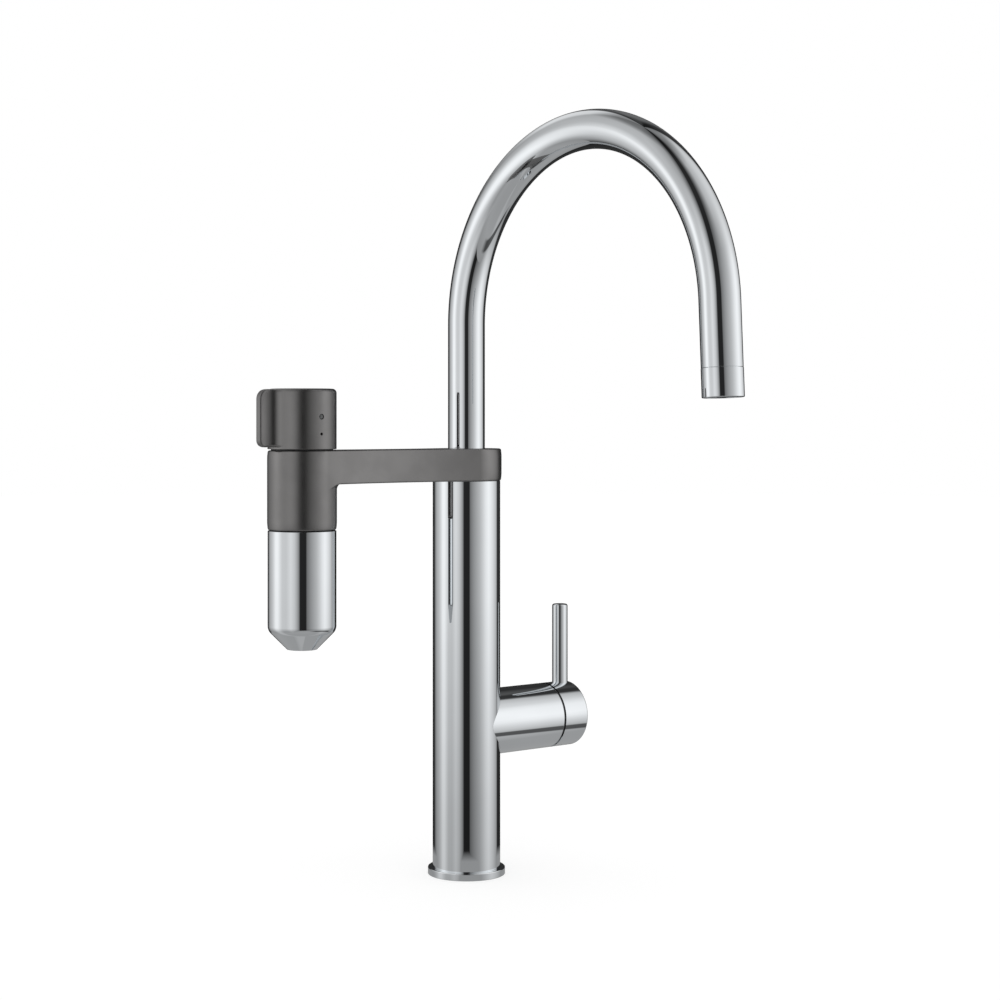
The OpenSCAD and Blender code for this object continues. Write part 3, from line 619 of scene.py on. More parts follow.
def finishes(look):
    """The finish of each material slot. look holds the two main colours and their roughness."""
    chrome, gunmetal = look.chrome_colour, look.gunmetal_colour
    return {
        "chrome_plate": Finish(chrome, [c * 0.985 for c in chrome], 1.0, look.chrome_roughness,
                               look.chrome_roughness * 1.7, 45.0, 900.0, 0.0000001, LONG_LINES, 40.0, 0.004),
        "satin_gunmetal": Finish(gunmetal, [c * 0.93 for c in gunmetal], 1.0, look.gunmetal_roughness,
                                 look.gunmetal_roughness * 1.12, 55.0, 5200.0, 0.0000006,
                                 wear=0.1, wear_colour=[c * 1.2 for c in gunmetal]),
        "brass": Finish((0.62, 0.45, 0.18), (0.50, 0.36, 0.15), 1.0, 0.24, 0.36, 60.0, 1800.0, 0.000002,
                        ROUND_LINES, 160.0, 0.12, 0.000006, 0.4, (0.78, 0.62, 0.32)),
        "copper_tube": Finish((0.64, 0.30, 0.18), (0.48, 0.21, 0.13), 1.0, 0.22, 0.42, 40.0, 1500.0, 0.000002,
                              LONG_LINES, 120.0, 0.1, 0.000003, 0.3, (0.75, 0.42, 0.28)),
        "steel": Finish((0.50, 0.51, 0.52), (0.42, 0.43, 0.44), 1.0, 0.25, 0.38, 60.0, 1600.0, 0.000002,
                        ROUND_LINES, 180.0, 0.12, 0.000005, 0.3, (0.66, 0.67, 0.68)),
        "rubber_black": Finish((0.016, 0.016, 0.017), (0.024, 0.024, 0.024), 0.0, 0.62, 0.8, 90.0, 2600.0,
                               0.000014, specular=0.35),
        "plastic_black": Finish((0.018, 0.018, 0.020), (0.028, 0.028, 0.030), 0.0, 0.42, 0.55, 70.0, 3000.0,
                                0.00001, wear=0.2, wear_colour=(0.07, 0.07, 0.07)),
        "plastic_white": Finish((0.74, 0.74, 0.72), (0.70, 0.70, 0.67), 0.0, 0.28, 0.4, 35.0, 2200.0,
                                0.000006, wear=0.2, wear_colour=(0.85, 0.85, 0.84)),
        "plastic_orange": Finish((0.66, 0.21, 0.04), (0.58, 0.17, 0.03), 0.0, 0.3, 0.42, 35.0, 2200.0,
                                 0.000006, wear=0.2, wear_colour=(0.8, 0.35, 0.12)),
        "ceramic": Finish((0.80, 0.79, 0.75), (0.76, 0.75, 0.70), 0.0, 0.14, 0.3, 120.0, 5000.0, 0.000001,
                          coat=0.3),
        "filter_carbon": Finish((0.018, 0.018, 0.018), (0.05, 0.05, 0.052), 0.0, 0.75, 0.95, 700.0, 1100.0,
                                0.00012),
        "filter_fibre": Finish((0.78, 0.79, 0.76), (0.62, 0.65, 0.62), 0.0, 0.6, 0.8, 60.0, 1600.0, 0.00002,
                               LONG_LINES, 70.0, 0.1, 0.00015),
        "board_green": Finish((0.015, 0.15, 0.06), (0.03, 0.22, 0.09), 0.0, 0.22, 0.38, 420.0, 1500.0,
                              0.000012, coat=0.5),
        "lamp_glass": Finish((0.055, 0.06, 0.062), (0.04, 0.045, 0.047), 0.0, 0.04, 0.09, 300.0, 2500.0,
                             0.0000005, coat=1.0),
    }


def finish_material(slot):
    """The material of a slot, built on first use."""
    name = "tap_" + slot
    made = bpy.data.materials.get(name)
    if made:
        return made
    wanted = finishes(bpy.context.scene.mixer_tap_finish)[slot]
    made = bpy.data.materials.new(name)
    made.use_nodes = True
    tree = made.node_tree
    place = shader_node(tree, "TexCoord").outputs["Object"]
    grain = place_group(tree, "Surface grain", place, {
        "Colour": (*wanted.colour, 1), "Cloud Colour": (*wanted.cloud, 1), "Cloud Scale": wanted.cloud_scale,
        "Grain Scale": wanted.grain_scale, "Low Roughness": wanted.low, "High Roughness": wanted.high})
    colour, roughness = grain["Colour"], grain["Roughness"]
    normal = bump(tree, wanted.bump, grain["Height"])
    if wanted.stretch:
        lines = place_group(tree, "Drawn lines", place, {
            "Stretch": wanted.stretch, "Scale": wanted.line_scale, "Strength": wanted.line_rough})
        roughness = math_node(tree, "ADD", roughness, lines["Roughness"])
        if wanted.line_bump:
            normal = bump(tree, wanted.line_bump, lines["Height"], normal)
    if wanted.wear:
        worn = place_group(tree, "Edge wear", place, {"Amount": wanted.wear})
        colour = mix_colour(tree, worn["Mask"], colour, (*wanted.wear_colour, 1))
    shader = tree.nodes["Principled BSDF"]
    for label, value in {
            "Base Color": colour, "Metallic": wanted.metallic, "Roughness": roughness, "Normal": normal,
            "Specular IOR Level": wanted.specular, "Coat Weight": wanted.coat,
            "Coat Roughness": COAT_ROUGHNESS}.items():
        feed(tree, shader.inputs[label], value)
    lay_out(tree)
    return made


# Property groups


class MixerTapShape(bpy.types.PropertyGroup):
    """How finely the pieces are built, and the small edges that they are given."""

    turns: IntProperty(name="Steps round", description="Steps round a turned piece",
                       default=192, min=96, max=384)
    arch_steps: IntProperty(name="Steps along the arch", description="Steps along the spout's bend",
                            default=200, min=60, max=400)
    edge_steps: IntProperty(name="Steps in an edge", description="Steps across a rounded edge",
                            default=6, min=2, max=12)
    plate_edge: FloatProperty(name="Plated edge", description="Radius of the small edges of plated pieces",
                              default=0.0003, min=0.0001, max=0.001, unit="LENGTH")
    arm_edge: FloatProperty(name="Arm edge", description="Radius of the arm's upper and lower edges",
                            default=0.0008, min=0.0002, max=0.002, unit="LENGTH")
    blade_edge: FloatProperty(name="Blade edge", description="Radius of the edges round the knob's blade",
                              default=0.0011, min=0.0002, max=0.002, unit="LENGTH")
    thread_depth: FloatProperty(name="Thread depth", description="Depth of the cup's screw thread",
                                default=0.0007, min=0.0002, max=0.001, unit="LENGTH")


class MixerTapFinish(bpy.types.PropertyGroup):
    """Colours and roughness of the two finishes that show."""

    chrome_colour: FloatVectorProperty(name="Chrome colour", description="Colour of the polished plating",
                                       default=(0.855, 0.882, 0.905), min=0, max=1, subtype="COLOR")
    chrome_roughness: FloatProperty(name="Chrome roughness", description="Lowest roughness of the plating",
                                    default=0.012, min=0, max=1, subtype="FACTOR")
    gunmetal_colour: FloatVectorProperty(name="Gunmetal colour", description="Colour of the satin coating",
                                         default=(0.255, 0.25, 0.248), min=0, max=1, subtype="COLOR")
    gunmetal_roughness: FloatProperty(name="Gunmetal roughness", description="Lowest coating roughness",
                                      default=0.3, min=0, max=1, subtype="FACTOR")


class MixerTapStudio(bpy.types.PropertyGroup):
    """The floor, the light tent, the camera and the level of light."""

    floor_r: FloatProperty(name="Floor radius", description="Radius of the round floor", default=6.0,
                           min=1.0, max=20.0, unit="LENGTH")
    floor_glow: FloatProperty(name="Floor white", description="What the floor glows with for the camera",
                              default=0.72, min=0.0, max=1.0, subtype="FACTOR")
    floor_shade: FloatProperty(name="Floor shade", description="How much the floor takes on the tap's shadow",
                               default=0.32, min=0.0, max=1.0, subtype="FACTOR")
    tent_r: FloatProperty(name="Tent radius", description="Radius of the tent that the plating reflects",
                          default=0.8, min=0.5, max=3.0, unit="LENGTH")
    tent_z: FloatProperty(name="Tent height", description="Height of the tent's middle", default=0.2,
                          min=0.0, max=1.0, unit="LENGTH")
    camera_place: FloatVectorProperty(name="Camera place", description="Where the camera stands",
                                      default=(-0.7516, -0.9418, 0.2691), subtype="TRANSLATION",
                                      unit="LENGTH")
    camera_turn: FloatProperty(name="Camera turn", description="Direction in which the camera looks, from +X",
                               default=math.radians(51.77), unit="ROTATION")
    camera_lens: FloatProperty(name="Lens", description="Focal length in millimetres", default=73.28,
                               min=20.0, max=200.0)
    camera_shift: FloatVectorProperty(name="Shift", description="Shift of the lens, as a share of the frame",
                                      default=(0.0464, -0.0818), size=2)
    light_level: FloatProperty(name="Light level", description="Strength of the plain light on the object",
                               default=0.95, min=0.1, max=2.0)


# Operators, one for each piece or group of like pieces


class MIXER_TAP_OT_inside(bpy.types.Operator):
    """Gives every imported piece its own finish, for the pieces inside and the small ones that stay"""

    bl_idname = "mixer_tap.inside"
    bl_label = "Pieces inside"

    def execute(self, context):
        for name, node in frame["nodes"].items():
            node.data.materials.clear()
            node.data.materials.append(finish_material(NODE_FINISH[name]))
        return {"FINISHED"}


class MIXER_TAP_OT_column(bpy.types.Operator):
    """Builds the column tube and the ring at its foot"""

    bl_idname = "mixer_tap.column"
    bl_label = "Column and foot ring"

    def execute(self, context):
        s, shape = Sizes, context.scene.mixer_tap_shape
        edge = shape.plate_edge / MM
        inner = s.column_r - s.column_wall
        foot = s.ring_ledge + s.clearance
        tube = rounded([(inner, foot), (s.column_r, foot), (s.column_r, s.column_top, edge),
                        (inner, s.column_top, edge)], shape.edge_steps)
        turned_piece("column_skin", tube, upright(0, 0), shape.turns, "tap_body", "chrome_plate",
                     ["column_tube"])
        groove = (s.gasket_r - s.gasket_w - s.clearance, s.gasket_r + s.clearance)
        groove_top = s.gasket_h + s.clearance
        bore = s.column_r + s.clearance
        ring = rounded([
            (s.ring_bore_r, 0, s.inner_edge), (groove[0], 0), (groove[0], groove_top),
            (groove[1], groove_top), (groove[1], 0), (s.ring_r, 0, edge), (s.ring_r, s.ring_h, s.ring_edge),
            (bore, s.ring_h, s.ring_bore_edge), (bore, s.ring_ledge), (s.ring_bore_r, s.ring_ledge)],
            shape.edge_steps)
        turned_piece("foot_ring_skin", ring, upright(0, 0), shape.turns, "tap_body", "chrome_plate",
                     ["base_ring"])
        return {"FINISHED"}


class MIXER_TAP_OT_valve(bpy.types.Operator):
    """Builds the valve housing, which meets the column in a saddle, and the dome under the handle"""

    bl_idname = "mixer_tap.valve"
    bl_label = "Mixing valve"

    def execute(self, context):
        s, shape = Sizes, context.scene.mixer_tap_shape
        about = sideways(s.valve_z)
        self.add_housing(shape, about)
        inner_r = s.swing_r - s.dome_t
        line = ball_line(s.swing_r, leg(s.swing_r, s.dome_start), s.dome_opening_r, 14)
        line += ball_line(inner_r, s.dome_opening_r, leg(inner_r, s.skirt_top), 14)
        skirt_foot, skirt_top = s.pivot_x + s.skirt_foot, s.pivot_x + s.skirt_top
        line += [(s.skirt_inner_r, skirt_top), (s.skirt_inner_r, skirt_foot), (s.skirt_outer_r, skirt_foot)]
        line += ball_line(inner_r, s.skirt_outer_r, leg(inner_r, s.dome_start), 3)
        turned_piece("dome_skin", line, about, shape.turns, "tap_body", "chrome_plate", ["dome_cover"])
        return {"FINISHED"}

    def add_housing(self, shape, about):
        """The housing, whose near end fits the column and whose far end is bored for the cartridge."""
        s = Sizes
        edge = shape.plate_edge / MM
        housing = Skin()
        turns = circle(shape.turns)

        def on_column(r, turn, _):
            return about(r, turn, leg(s.saddle_r, r * math.cos(turn)))

        rings = [housing.ring(on_column, s.valve_r * share, 0, turns)
                 for share in (0, 0.25, 0.5, 0.75, 0.9, 1.0)]
        saddle = [housing.points[i][0] for i in rings[-1]]
        for share in spread(0, 1, 24)[1:-1]:
            rings.append(housing.add(about(s.valve_r, turn, x * (1 - share) + (s.housing_end - edge) * share)
                                     for x, turn in zip(saddle, turns)))
        end = rounded([(s.valve_r, 0), (s.valve_r, s.housing_end, edge),
                       (s.cartridge_r, s.housing_end, s.inner_edge), (s.cartridge_r, s.cartridge_seat),
                       (0, s.cartridge_seat)], shape.edge_steps)[1:]
        rings += [housing.ring(about, r, x, turns) for r, x in end]
        housing.stack(rings)
        piece("valve_housing_skin", housing, "tap_body", "chrome_plate", ["valve_housing"])


class MIXER_TAP_OT_handle(bpy.types.Operator):
    """Builds the handle cap, hollow for its swing over the dome, and the pin lever"""

    bl_idname = "mixer_tap.handle"
    bl_label = "Handle"

    def execute(self, context):
        s, shape = Sizes, context.scene.mixer_tap_shape
        about = sideways(s.valve_z)
        steps = shape.edge_steps + 2
        window, rows = 3.4, 10
        wall = [(s.valve_r, x) for x in spread(s.grub_x + window, s.grub_x - window, rows)]
        line = rounded([(0, s.cap_end), (s.valve_r, s.cap_end, s.handle_edge), *wall], steps)
        first = line.index(wall[0])
        line += ball_line(s.swing_r + s.cap_gap, s.valve_r, s.boss_r, 20)
        line += [(s.boss_r, s.boss_x), (0, s.boss_x)]
        down = shape.turns * 3 // 4
        columns = (down - rows // 2, down + rows // 2)
        cap = Skin()
        rings = cap.revolve(line, about, shape.turns, gaps={first + i: [columns] for i in range(rows)})
        side = DrillSide((s.grub_x, 0, s.valve_z), (0, 0, 1), (1, 0, 0), s.valve_r)
        hole = cap.drill(rings[first:first + rows + 1][::-1], columns, side, s.plug_hole_r, s.plug_hole_edge)
        cap.sink(hole, side, s.plug_hole_r, s.plug_hole_l)
        piece("handle_cap_skin", cap, "mixer_lever", "chrome_plate", ["handle_cap"])

        pin = rounded([(0, s.lever_seat), (s.lever_r, s.lever_seat, s.inner_edge),
                       (s.lever_r, s.lever_top, s.handle_edge), (0, s.lever_top)], steps)
        turned_piece("pin_lever_skin", pin, upright(s.lever_x, 0), shape.turns // 2, "mixer_lever",
                     "chrome_plate", ["pin_lever"])
        return {"FINISHED"}


class MIXER_TAP_OT_spout(bpy.types.Operator):
    """Builds the spout tube along its arch, and the sleeve at its outlet"""

    bl_idname = "mixer_tap.spout"
    bl_label = "Spout"

    def execute(self, context):
        s, shape = Sizes, context.scene.mixer_tap_shape
        edge = shape.plate_edge / MM / 2
        bore = s.spout_r - s.spout_wall
        round_count = shape.turns * 2 // 3
        rounding = quarter(edge, (0.0, 0.5, 1.0, math.pi / 2))
        foot = s.spout_foot - s.bend_z
        path = [(0.0, h) for h in spread(foot, 0.0, 12)[:-1]]
        path += [(bend, 0.0) for bend in spread(0.0, s.bend_sweep, shape.arch_steps)[:-1]]
        path += [(s.bend_sweep, h) for h in spread(0.0, s.outlet_l, 8)]
        line = [(s.spout_r - a, 0.0, foot + b) for a, b in rounding]
        line += [(s.spout_r, *p) for p in path[1:-1]]
        line += [(s.spout_r - b, s.bend_sweep, s.outlet_l - a) for a, b in rounding]
        line += [(bore, *p) for p in reversed(path)]
        tube = Skin()
        rings = [tube.add(self.at(*station, turn) for turn in circle(round_count)) for station in line]
        tube.stack(rings + rings[:1])
        piece("spout_skin", tube, "spout", "chrome_plate", ["spout_tube"])

        start = s.outlet_l + s.sleeve_gap
        end = start + s.sleeve_l
        neck = bore - s.clearance
        mouth = s.sleeve_bore_r + s.sleeve_lip
        ledge = start + s.sleeve_ledge
        sleeve = rounded([
            (s.sleeve_bore_r, start - s.sleeve_neck_l), (neck, start - s.sleeve_neck_l, s.sleeve_bore_edge),
            (neck, start), (s.sleeve_r, start, s.inner_edge), (s.sleeve_r, end, s.sleeve_edge),
            (mouth, end, s.sleeve_bore_edge), (mouth, ledge), (s.sleeve_bore_r, ledge)], shape.edge_steps)
        turned_piece("aerator_sleeve_skin", sleeve, lambda r, turn, h: self.at(r, s.bend_sweep, h, turn),
                     round_count, "spout", "chrome_plate", ["aerator_sleeve"])
        return {"FINISHED"}

    def at(self, r, bend, h, turn):
        """A point at radius r about the tube's middle line, at an angle along the arch and a length on."""
        s = Sizes
        across, out = polar(r, turn, 0.0, s.bend_r)
        return (across, out * math.cos(bend) - h * math.sin(bend) - s.bend_r,
                s.bend_z + out * math.sin(bend) + h * math.cos(bend))


class ArmPlan:
    """One half of the arm's outline seen from above, from the collar's far end to the filter head's far end.
    rim holds, for each point, its place, its outward direction, how much of the upper and lower barrelling
    and of the lower edge it takes, and how far it hangs below the arm's foot."""

    def __init__(self):
        s = Sizes
        both = s.collar_r + s.head_r
        middle = s.reach / 2
        hollow_r = (middle ** 2 + s.waist ** 2 - (both / 2) ** 2) / (both - 2 * s.waist)
        hollow_x = -middle - (s.collar_r - s.head_r) * (hollow_r + both / 2) / s.reach
        hollow_y = leg(hollow_r + s.collar_r, hollow_x)
        self.hollow = Vector((hollow_x, hollow_y))
        self.head = Vector((-s.reach, 0))
        self.rim = []
        touch = math.atan2(hollow_y, hollow_x)
        step, fading = math.radians(1.5), math.radians(25)
        self.side_column = round(math.pi / 2 / step)
        for i in range(int(touch / step) + 1):
            turn = step * i
            fade = ease((touch - turn) / fading)
            self.note(polar(s.collar_r, turn), polar(1, turn), fade, fade, 1.0, 0.0)
        self.add_web(hollow_r, touch)
        head_turn = math.atan2(hollow_y, hollow_x + s.reach)
        self.head_start = len(self.rim)
        for turn in spread(head_turn, math.pi, 72):
            fade = ease((turn - head_turn) / fading)
            self.note(polar(s.head_r, turn, -s.reach), polar(1, turn), fade, 0.0, 0.0, s.corner_r)

    def note(self, point, outward, *shaping):
        """Adds a point to the rim."""
        self.rim.append((Vector(point), Vector(outward), *shaping))

    def add_web(self, hollow_r, touch):
        """The hollow side between the collar and the head, with closer points in the fillet by the head."""
        s = Sizes
        start = math.atan2(-math.sin(touch), -math.cos(touch))
        towards_head = self.head - self.hollow
        fine = spread(start, math.atan2(towards_head.y, towards_head.x), 4000)
        away = [(self.hollow + hollow_r * Vector(polar(1, t)) - self.head).length - s.head_r for t in fine]
        plain = spread(away[0], s.corner_r, 34)[1:-1]
        close = [s.corner_r * (1 - math.cos(t)) for t in spread(math.pi / 2, 0, 10)[:-1]]
        for distance in plain + close:
            turn = next(t for t, d in zip(fine, away) if d <= distance)
            outward = -Vector(polar(1, turn))
            self.note(self.hollow - hollow_r * outward, outward, 0.0, 0.0, ease(distance / s.corner_r),
                      edge_drop(distance, s.corner_r))


class MIXER_TAP_OT_arm(bpy.types.Operator):
    """Builds the side arm: the collar, the waisted arm and the filter head in one skin with rounded edges"""

    bl_idname = "mixer_tap.arm"
    bl_label = "Filter arm"

    def execute(self, context):
        s, shape = Sizes, context.scene.mixer_tap_shape
        edge = shape.arm_edge / MM
        plan = ArmPlan()
        arm = Skin()

        rounding = quarter(edge, (0.0, 0.4, 0.8, 1.2, math.pi / 2))
        foot_rows = [b for a, b in rounding] + [1.6, 2.6, 3.8, 5.0]
        window, row_h = 12, 0.55
        window_z = spread(s.screw_z - row_h * window / 2, s.screw_z + row_h * window / 2, window)
        top_rows = [s.arm_top - z for z in (s.screw_z - 8 * row_h, *window_z)] + [2.6, 1.7]
        top_rows += [a for a, b in rounding]
        first = len(foot_rows) + 1

        def outline(kind, h):
            """The outline at a height, drawn in for the barrelled ends and the rounded edges."""
            side = []
            band = s.barrel * max(0.0, 1 - h / s.barrel_band) ** 2
            drop = edge_drop(h, edge)
            for point, outward, barrel_top, barrel_foot, edge_foot, lift in plan.rim:
                if kind == "foot":
                    inset, z = barrel_foot * band + edge_foot * drop, s.arm_foot - lift + h
                else:
                    inset, z = barrel_top * band + drop, s.arm_top - h
                side.append((*(point - outward * inset), z))
            return side + [(x, -y, z) for x, y, z in reversed(side[1:-1])]

        rings = [arm.add(outline("foot", h)) for h in foot_rows]
        rings += [arm.add(outline("top", h)) for h in top_rows]
        columns = (plan.side_column - window // 2, plan.side_column + window // 2)
        for i, (a, b) in enumerate(zip(rings, rings[1:])):
            arm.bridge(a, b, gaps=[columns] if first <= i < first + window else ())
        side = DrillSide((0, 0, s.screw_z), (0, -1, 0), (0, 0, 1), s.collar_r)
        hole = arm.drill(rings[first:first + window + 1], columns, side, s.screw_hole_r,
                         s.screw_hole_edge)
        arm.sink(hole, side, s.screw_hole_r, s.screw_hole_l)

        self.add_underside(arm, plan, rings[0])
        mouth = self.add_mouth(arm, shape.turns)
        piece("filter_arm_skin", arm, "tap_body", "satin_gunmetal", ["filter_arm"], sharp=40.0,
              fill=[rings[-1], mouth])
        return {"FINISHED"}

    def add_underside(self, arm, plan, foot_ring):
        """The underside, which flows down into the filter head, and the head below the arm with its bores."""
        s = Sizes
        count = len(foot_ring)
        previous = foot_ring[:1]
        for k in range(1, plan.head_start + 1):
            right, left = foot_ring[k], foot_ring[count - k]
            x, y, z = arm.points[right]
            away = math.hypot(x + s.reach, y)
            around = math.atan2(y, x + s.reach)
            inner = [(*polar(away, turn, -s.reach), z) for turn in spread(around, -around, 32)[1:-1]]
            row = [right] + arm.add(inner) + [left]
            arm.bridge(previous, row, loop=False)
            previous = row
        top = foot_ring[plan.head_start:count - plan.head_start + 1] + previous[-2:0:-1]
        turns = [math.atan2(arm.points[i][1], arm.points[i][0] + s.reach) for i in top]
        line = [(s.head_r, s.head_foot + h) for h in (18.0, 12.0, 8.0)]
        for h in (5.0, 3.8, 2.6, 1.6, 0.8, 0.45, 0.2, 0.06, 0.0):
            inset = s.barrel * (1 - h / s.barrel_band) ** 2 + edge_drop(h, s.head_edge)
            line.append((s.head_r - inset, s.head_foot + h))
        line += rounded([
            (s.head_r, s.head_foot), (s.neck_bore_r, s.head_foot, s.neck_edge),
            (s.neck_bore_r, s.neck_bore_top), (s.head_bore_r, s.neck_bore_top),
            (s.head_bore_r, s.head_bore_top, s.head_bore_edge), (s.socket_r, s.head_bore_top, s.socket_edge),
            (s.socket_r, s.socket_top), (0, s.socket_top)], 4)[1:]
        arm.stack([top] + [arm.ring(upright(-s.reach, 0), r, z, turns) for r, z in line])

    def add_mouth(self, arm, count):
        """The opening in the collar that the spout turns in. It gives the opening's upper ring."""
        s = Sizes
        floor = s.arm_top - s.mouth_depth
        line = rounded([(s.mouth_r + s.mouth_rim, s.arm_top), (s.mouth_r, s.arm_top, s.mouth_edge),
                        (s.mouth_r, floor), (0, floor)], 5)[1:]
        rings = [arm.ring(upright(0, 0), r, z, circle(count)) for r, z in line]
        arm.stack(rings)
        return rings[0]


class MIXER_TAP_OT_cup(bpy.types.Operator):
    """Builds the filter cup, with its cone end and the screw thread on its neck"""

    bl_idname = "mixer_tap.cup"
    bl_label = "Filter cup"

    def execute(self, context):
        s, shape = Sizes, context.scene.mixer_tap_shape
        about = upright(-s.reach, 0)
        cone_h = s.cup_r - s.cup_end_r
        inner_r = s.cup_neck_r - s.cup_wall
        inner_end = s.cup_end_r - 1
        inner_foot = s.cup_foot + s.cup_wall
        groove = (s.seal_groove_r - s.seal_groove_w, s.seal_groove_r + s.seal_groove_w)
        groove_foot = s.cup_top - s.seal_groove_h
        neck_top = s.cup_top + s.cup_neck_h
        outer = rounded([
            (0, s.cup_foot), (s.cup_end_r, s.cup_foot, s.cup_end_edge),
            (s.cup_r, s.cup_foot + cone_h, s.cup_round),
            (s.cup_r, s.cup_top, shape.plate_edge / MM), (groove[1], s.cup_top), (groove[1], groove_foot),
            (groove[0], groove_foot), (groove[0], s.cup_top)], 10)
        neck = [(s.cup_neck_r, z) for z in spread(s.cup_top, neck_top, 60)]
        inner = rounded([
            (inner_r, neck_top), (inner_r, inner_foot + inner_r - inner_end, s.cup_round - s.cup_wall),
            (inner_end, inner_foot, s.cup_end_edge), (0, inner_foot)], 8)
        depth = shape.thread_depth / MM

        def threaded(r, turn, h):
            """Cuts the screw thread into the neck, faded out at both of its ends."""
            if r == s.cup_neck_r and s.cup_top < h < neck_top:
                phase = ((h - s.cup_top) / s.cup_pitch - turn / FULL_TURN) % 1.0
                fade = ease((h - s.cup_top - s.thread_start) / s.thread_fade)
                fade *= ease(neck_top - s.thread_end - h)
                r -= depth * fade * min(1.0, s.thread_slope * abs(2 * phase - 1))
            return about(r, turn, h)

        turned_piece("cup_skin", outer + neck + inner, threaded, shape.turns, "cup", "chrome_plate",
                     ["capsule_cup"])
        return {"FINISHED"}


class MIXER_TAP_OT_knob(bpy.types.Operator):
    """Builds the filter knob: a hollow cap with a lamp window and a reset pinhole, its blade and the lens"""

    bl_idname = "mixer_tap.knob"
    bl_label = "Filter knob"

    def execute(self, context):
        s, shape = Sizes, context.scene.mixer_tap_shape
        shell = Skin()
        self.add_shell(shell, shape.turns)
        self.add_blade(shell, shape.blade_edge / MM)
        piece("knob_skin", shell, "filter_knob", "satin_gunmetal", ["knob_shell"], sharp=40.0)

        low, high = span("led_lens")
        lens_r = (high.z - low.z) / 2

        def facing(r, turn, h):
            x, z = polar(r, turn, -s.reach, s.lamp_z)
            return x, h, z

        line = [(lens_r * math.sin(a), low.y + s.lens_bulge * (1 - math.cos(a)))
                for a in spread(0, math.pi / 2, 8)]
        turned_piece("lamp_lens_skin", line + [(lens_r, high.y), (0, high.y)], facing, shape.turns // 4,
                     "filter_knob", "lamp_glass", ["led_lens"])
        return {"FINISHED"}

    def add_shell(self, shell, turns):
        """The round body, hollow from below, with the lamp's and the reset switch's openings."""
        s = Sizes
        roof = s.knob_top - s.knob_roof
        corner = (s.knob_bore_r - s.knob_roof_edge, roof - s.knob_roof_edge)
        front = turns * 3 // 4
        step = FULL_TURN * s.knob_r / turns
        windows = [(s.reset_z, s.reset_r, 2), (s.lamp_z, s.lamp_r, 4)]
        heights = [z + step * i for z, _, reach in windows for i in range(-reach, reach + 1)]
        line = rounded([(0, s.knob_foot), (s.knob_bore_r, s.knob_foot, s.inner_edge),
                        (s.knob_r, s.knob_foot, s.knob_foot_edge), *[(s.knob_r, z) for z in heights],
                        (s.knob_r, s.knob_top, s.knob_edge), (0, s.knob_top)], 8)[1:]
        line += [(0, roof), *arc(corner, s.knob_roof_edge, math.pi / 2, 0, 4)]
        line += [(s.knob_bore_r, z) for z in reversed(heights)]
        gaps = {}
        blocks = []
        out_row, in_row = line.index((s.knob_r, heights[0])), len(line) - 1
        for z, radius, reach in windows:
            columns = (front - reach, front + reach)
            out_rows = [out_row + i for i in range(2 * reach + 1)]
            in_rows = [in_row - i for i in range(2 * reach + 1)]
            for i in out_rows[:-1] + in_rows[1:]:
                gaps[i] = [columns]
            blocks.append((z, radius, columns, out_rows, in_rows))
            out_row, in_row = out_rows[-1] + 1, in_rows[-1] - 1
        rings = shell.revolve(line, upright(-s.reach, 0), turns, gaps=gaps)
        for z, radius, columns, out_rows, in_rows in blocks:
            loops = []
            for rows, wall_r, edge in ((out_rows, s.knob_r, s.outer_rim),
                                       (in_rows, s.knob_bore_r, s.inner_rim)):
                side = DrillSide((-s.reach, 0, z), (0, 1, 0), (0, 0, 1), wall_r)
                loops.append(shell.drill([rings[i] for i in rows], columns, side, radius, edge)[0])
            shell.stack(loops)

    def add_blade(self, shell, edge):
        """The blade and the hollow corners that join it to the body, as a stack of outlines."""
        s = Sizes
        foot = s.knob_foot + s.blade_lift
        top = s.knob_top - s.blade_drop
        corner = spread(0, math.pi / 2, 12)
        heights = [foot + b for a, b in quarter(s.blade_foot_r, corner)]
        heights += [top - b for a, b in reversed(quarter(s.blade_top_r, corner))]
        rings = []
        for z in heights:
            reach = s.blade_reach - edge_drop(z - foot, s.blade_foot_r) - edge_drop(top - z, s.blade_top_r)
            half_t = s.blade_t / 2 - edge_drop(z - foot, edge) - edge_drop(top - z, edge)
            body_r = s.knob_r - edge_drop(s.knob_top - z, s.knob_edge)
            side = self.blade_half(reach, half_t, body_r, edge, z)
            rings.append(shell.add(side + [(x, -y, z) for x, y, z in reversed(side)]))
        shell.stack(rings)
        for ring in (rings[0], rings[-1]):
            half = len(ring) // 2
            shell.bridge(ring[:half], ring[:half - 1:-1], loop=False)

    def blade_half(self, reach, half_t, body_r, edge, z):
        """Half of the blade's outline at one height: the hollow corner, the side and the rounded tip."""
        s = Sizes
        tip = min(edge, half_t * 0.8)
        end = reach - tip
        widest_cove = (end ** 2 - body_r ** 2 + half_t ** 2) / (2 * (body_r - half_t))
        cove_r = min(s.cove_r, s.cove_share * widest_cove)
        centre_y = half_t + cove_r
        centre_x = -leg(body_r + cove_r, centre_y)
        points = arc((centre_x, centre_y), cove_r, math.atan2(-centre_y, -centre_x), -math.pi / 2, 16)
        points += [(x, half_t) for x in spread(centre_x, -end, 3)[1:-1]]
        points += arc((-end, half_t - tip), tip, math.pi / 2, math.pi, 6)
        return [(x - s.reach, y, z) for x, y in points]


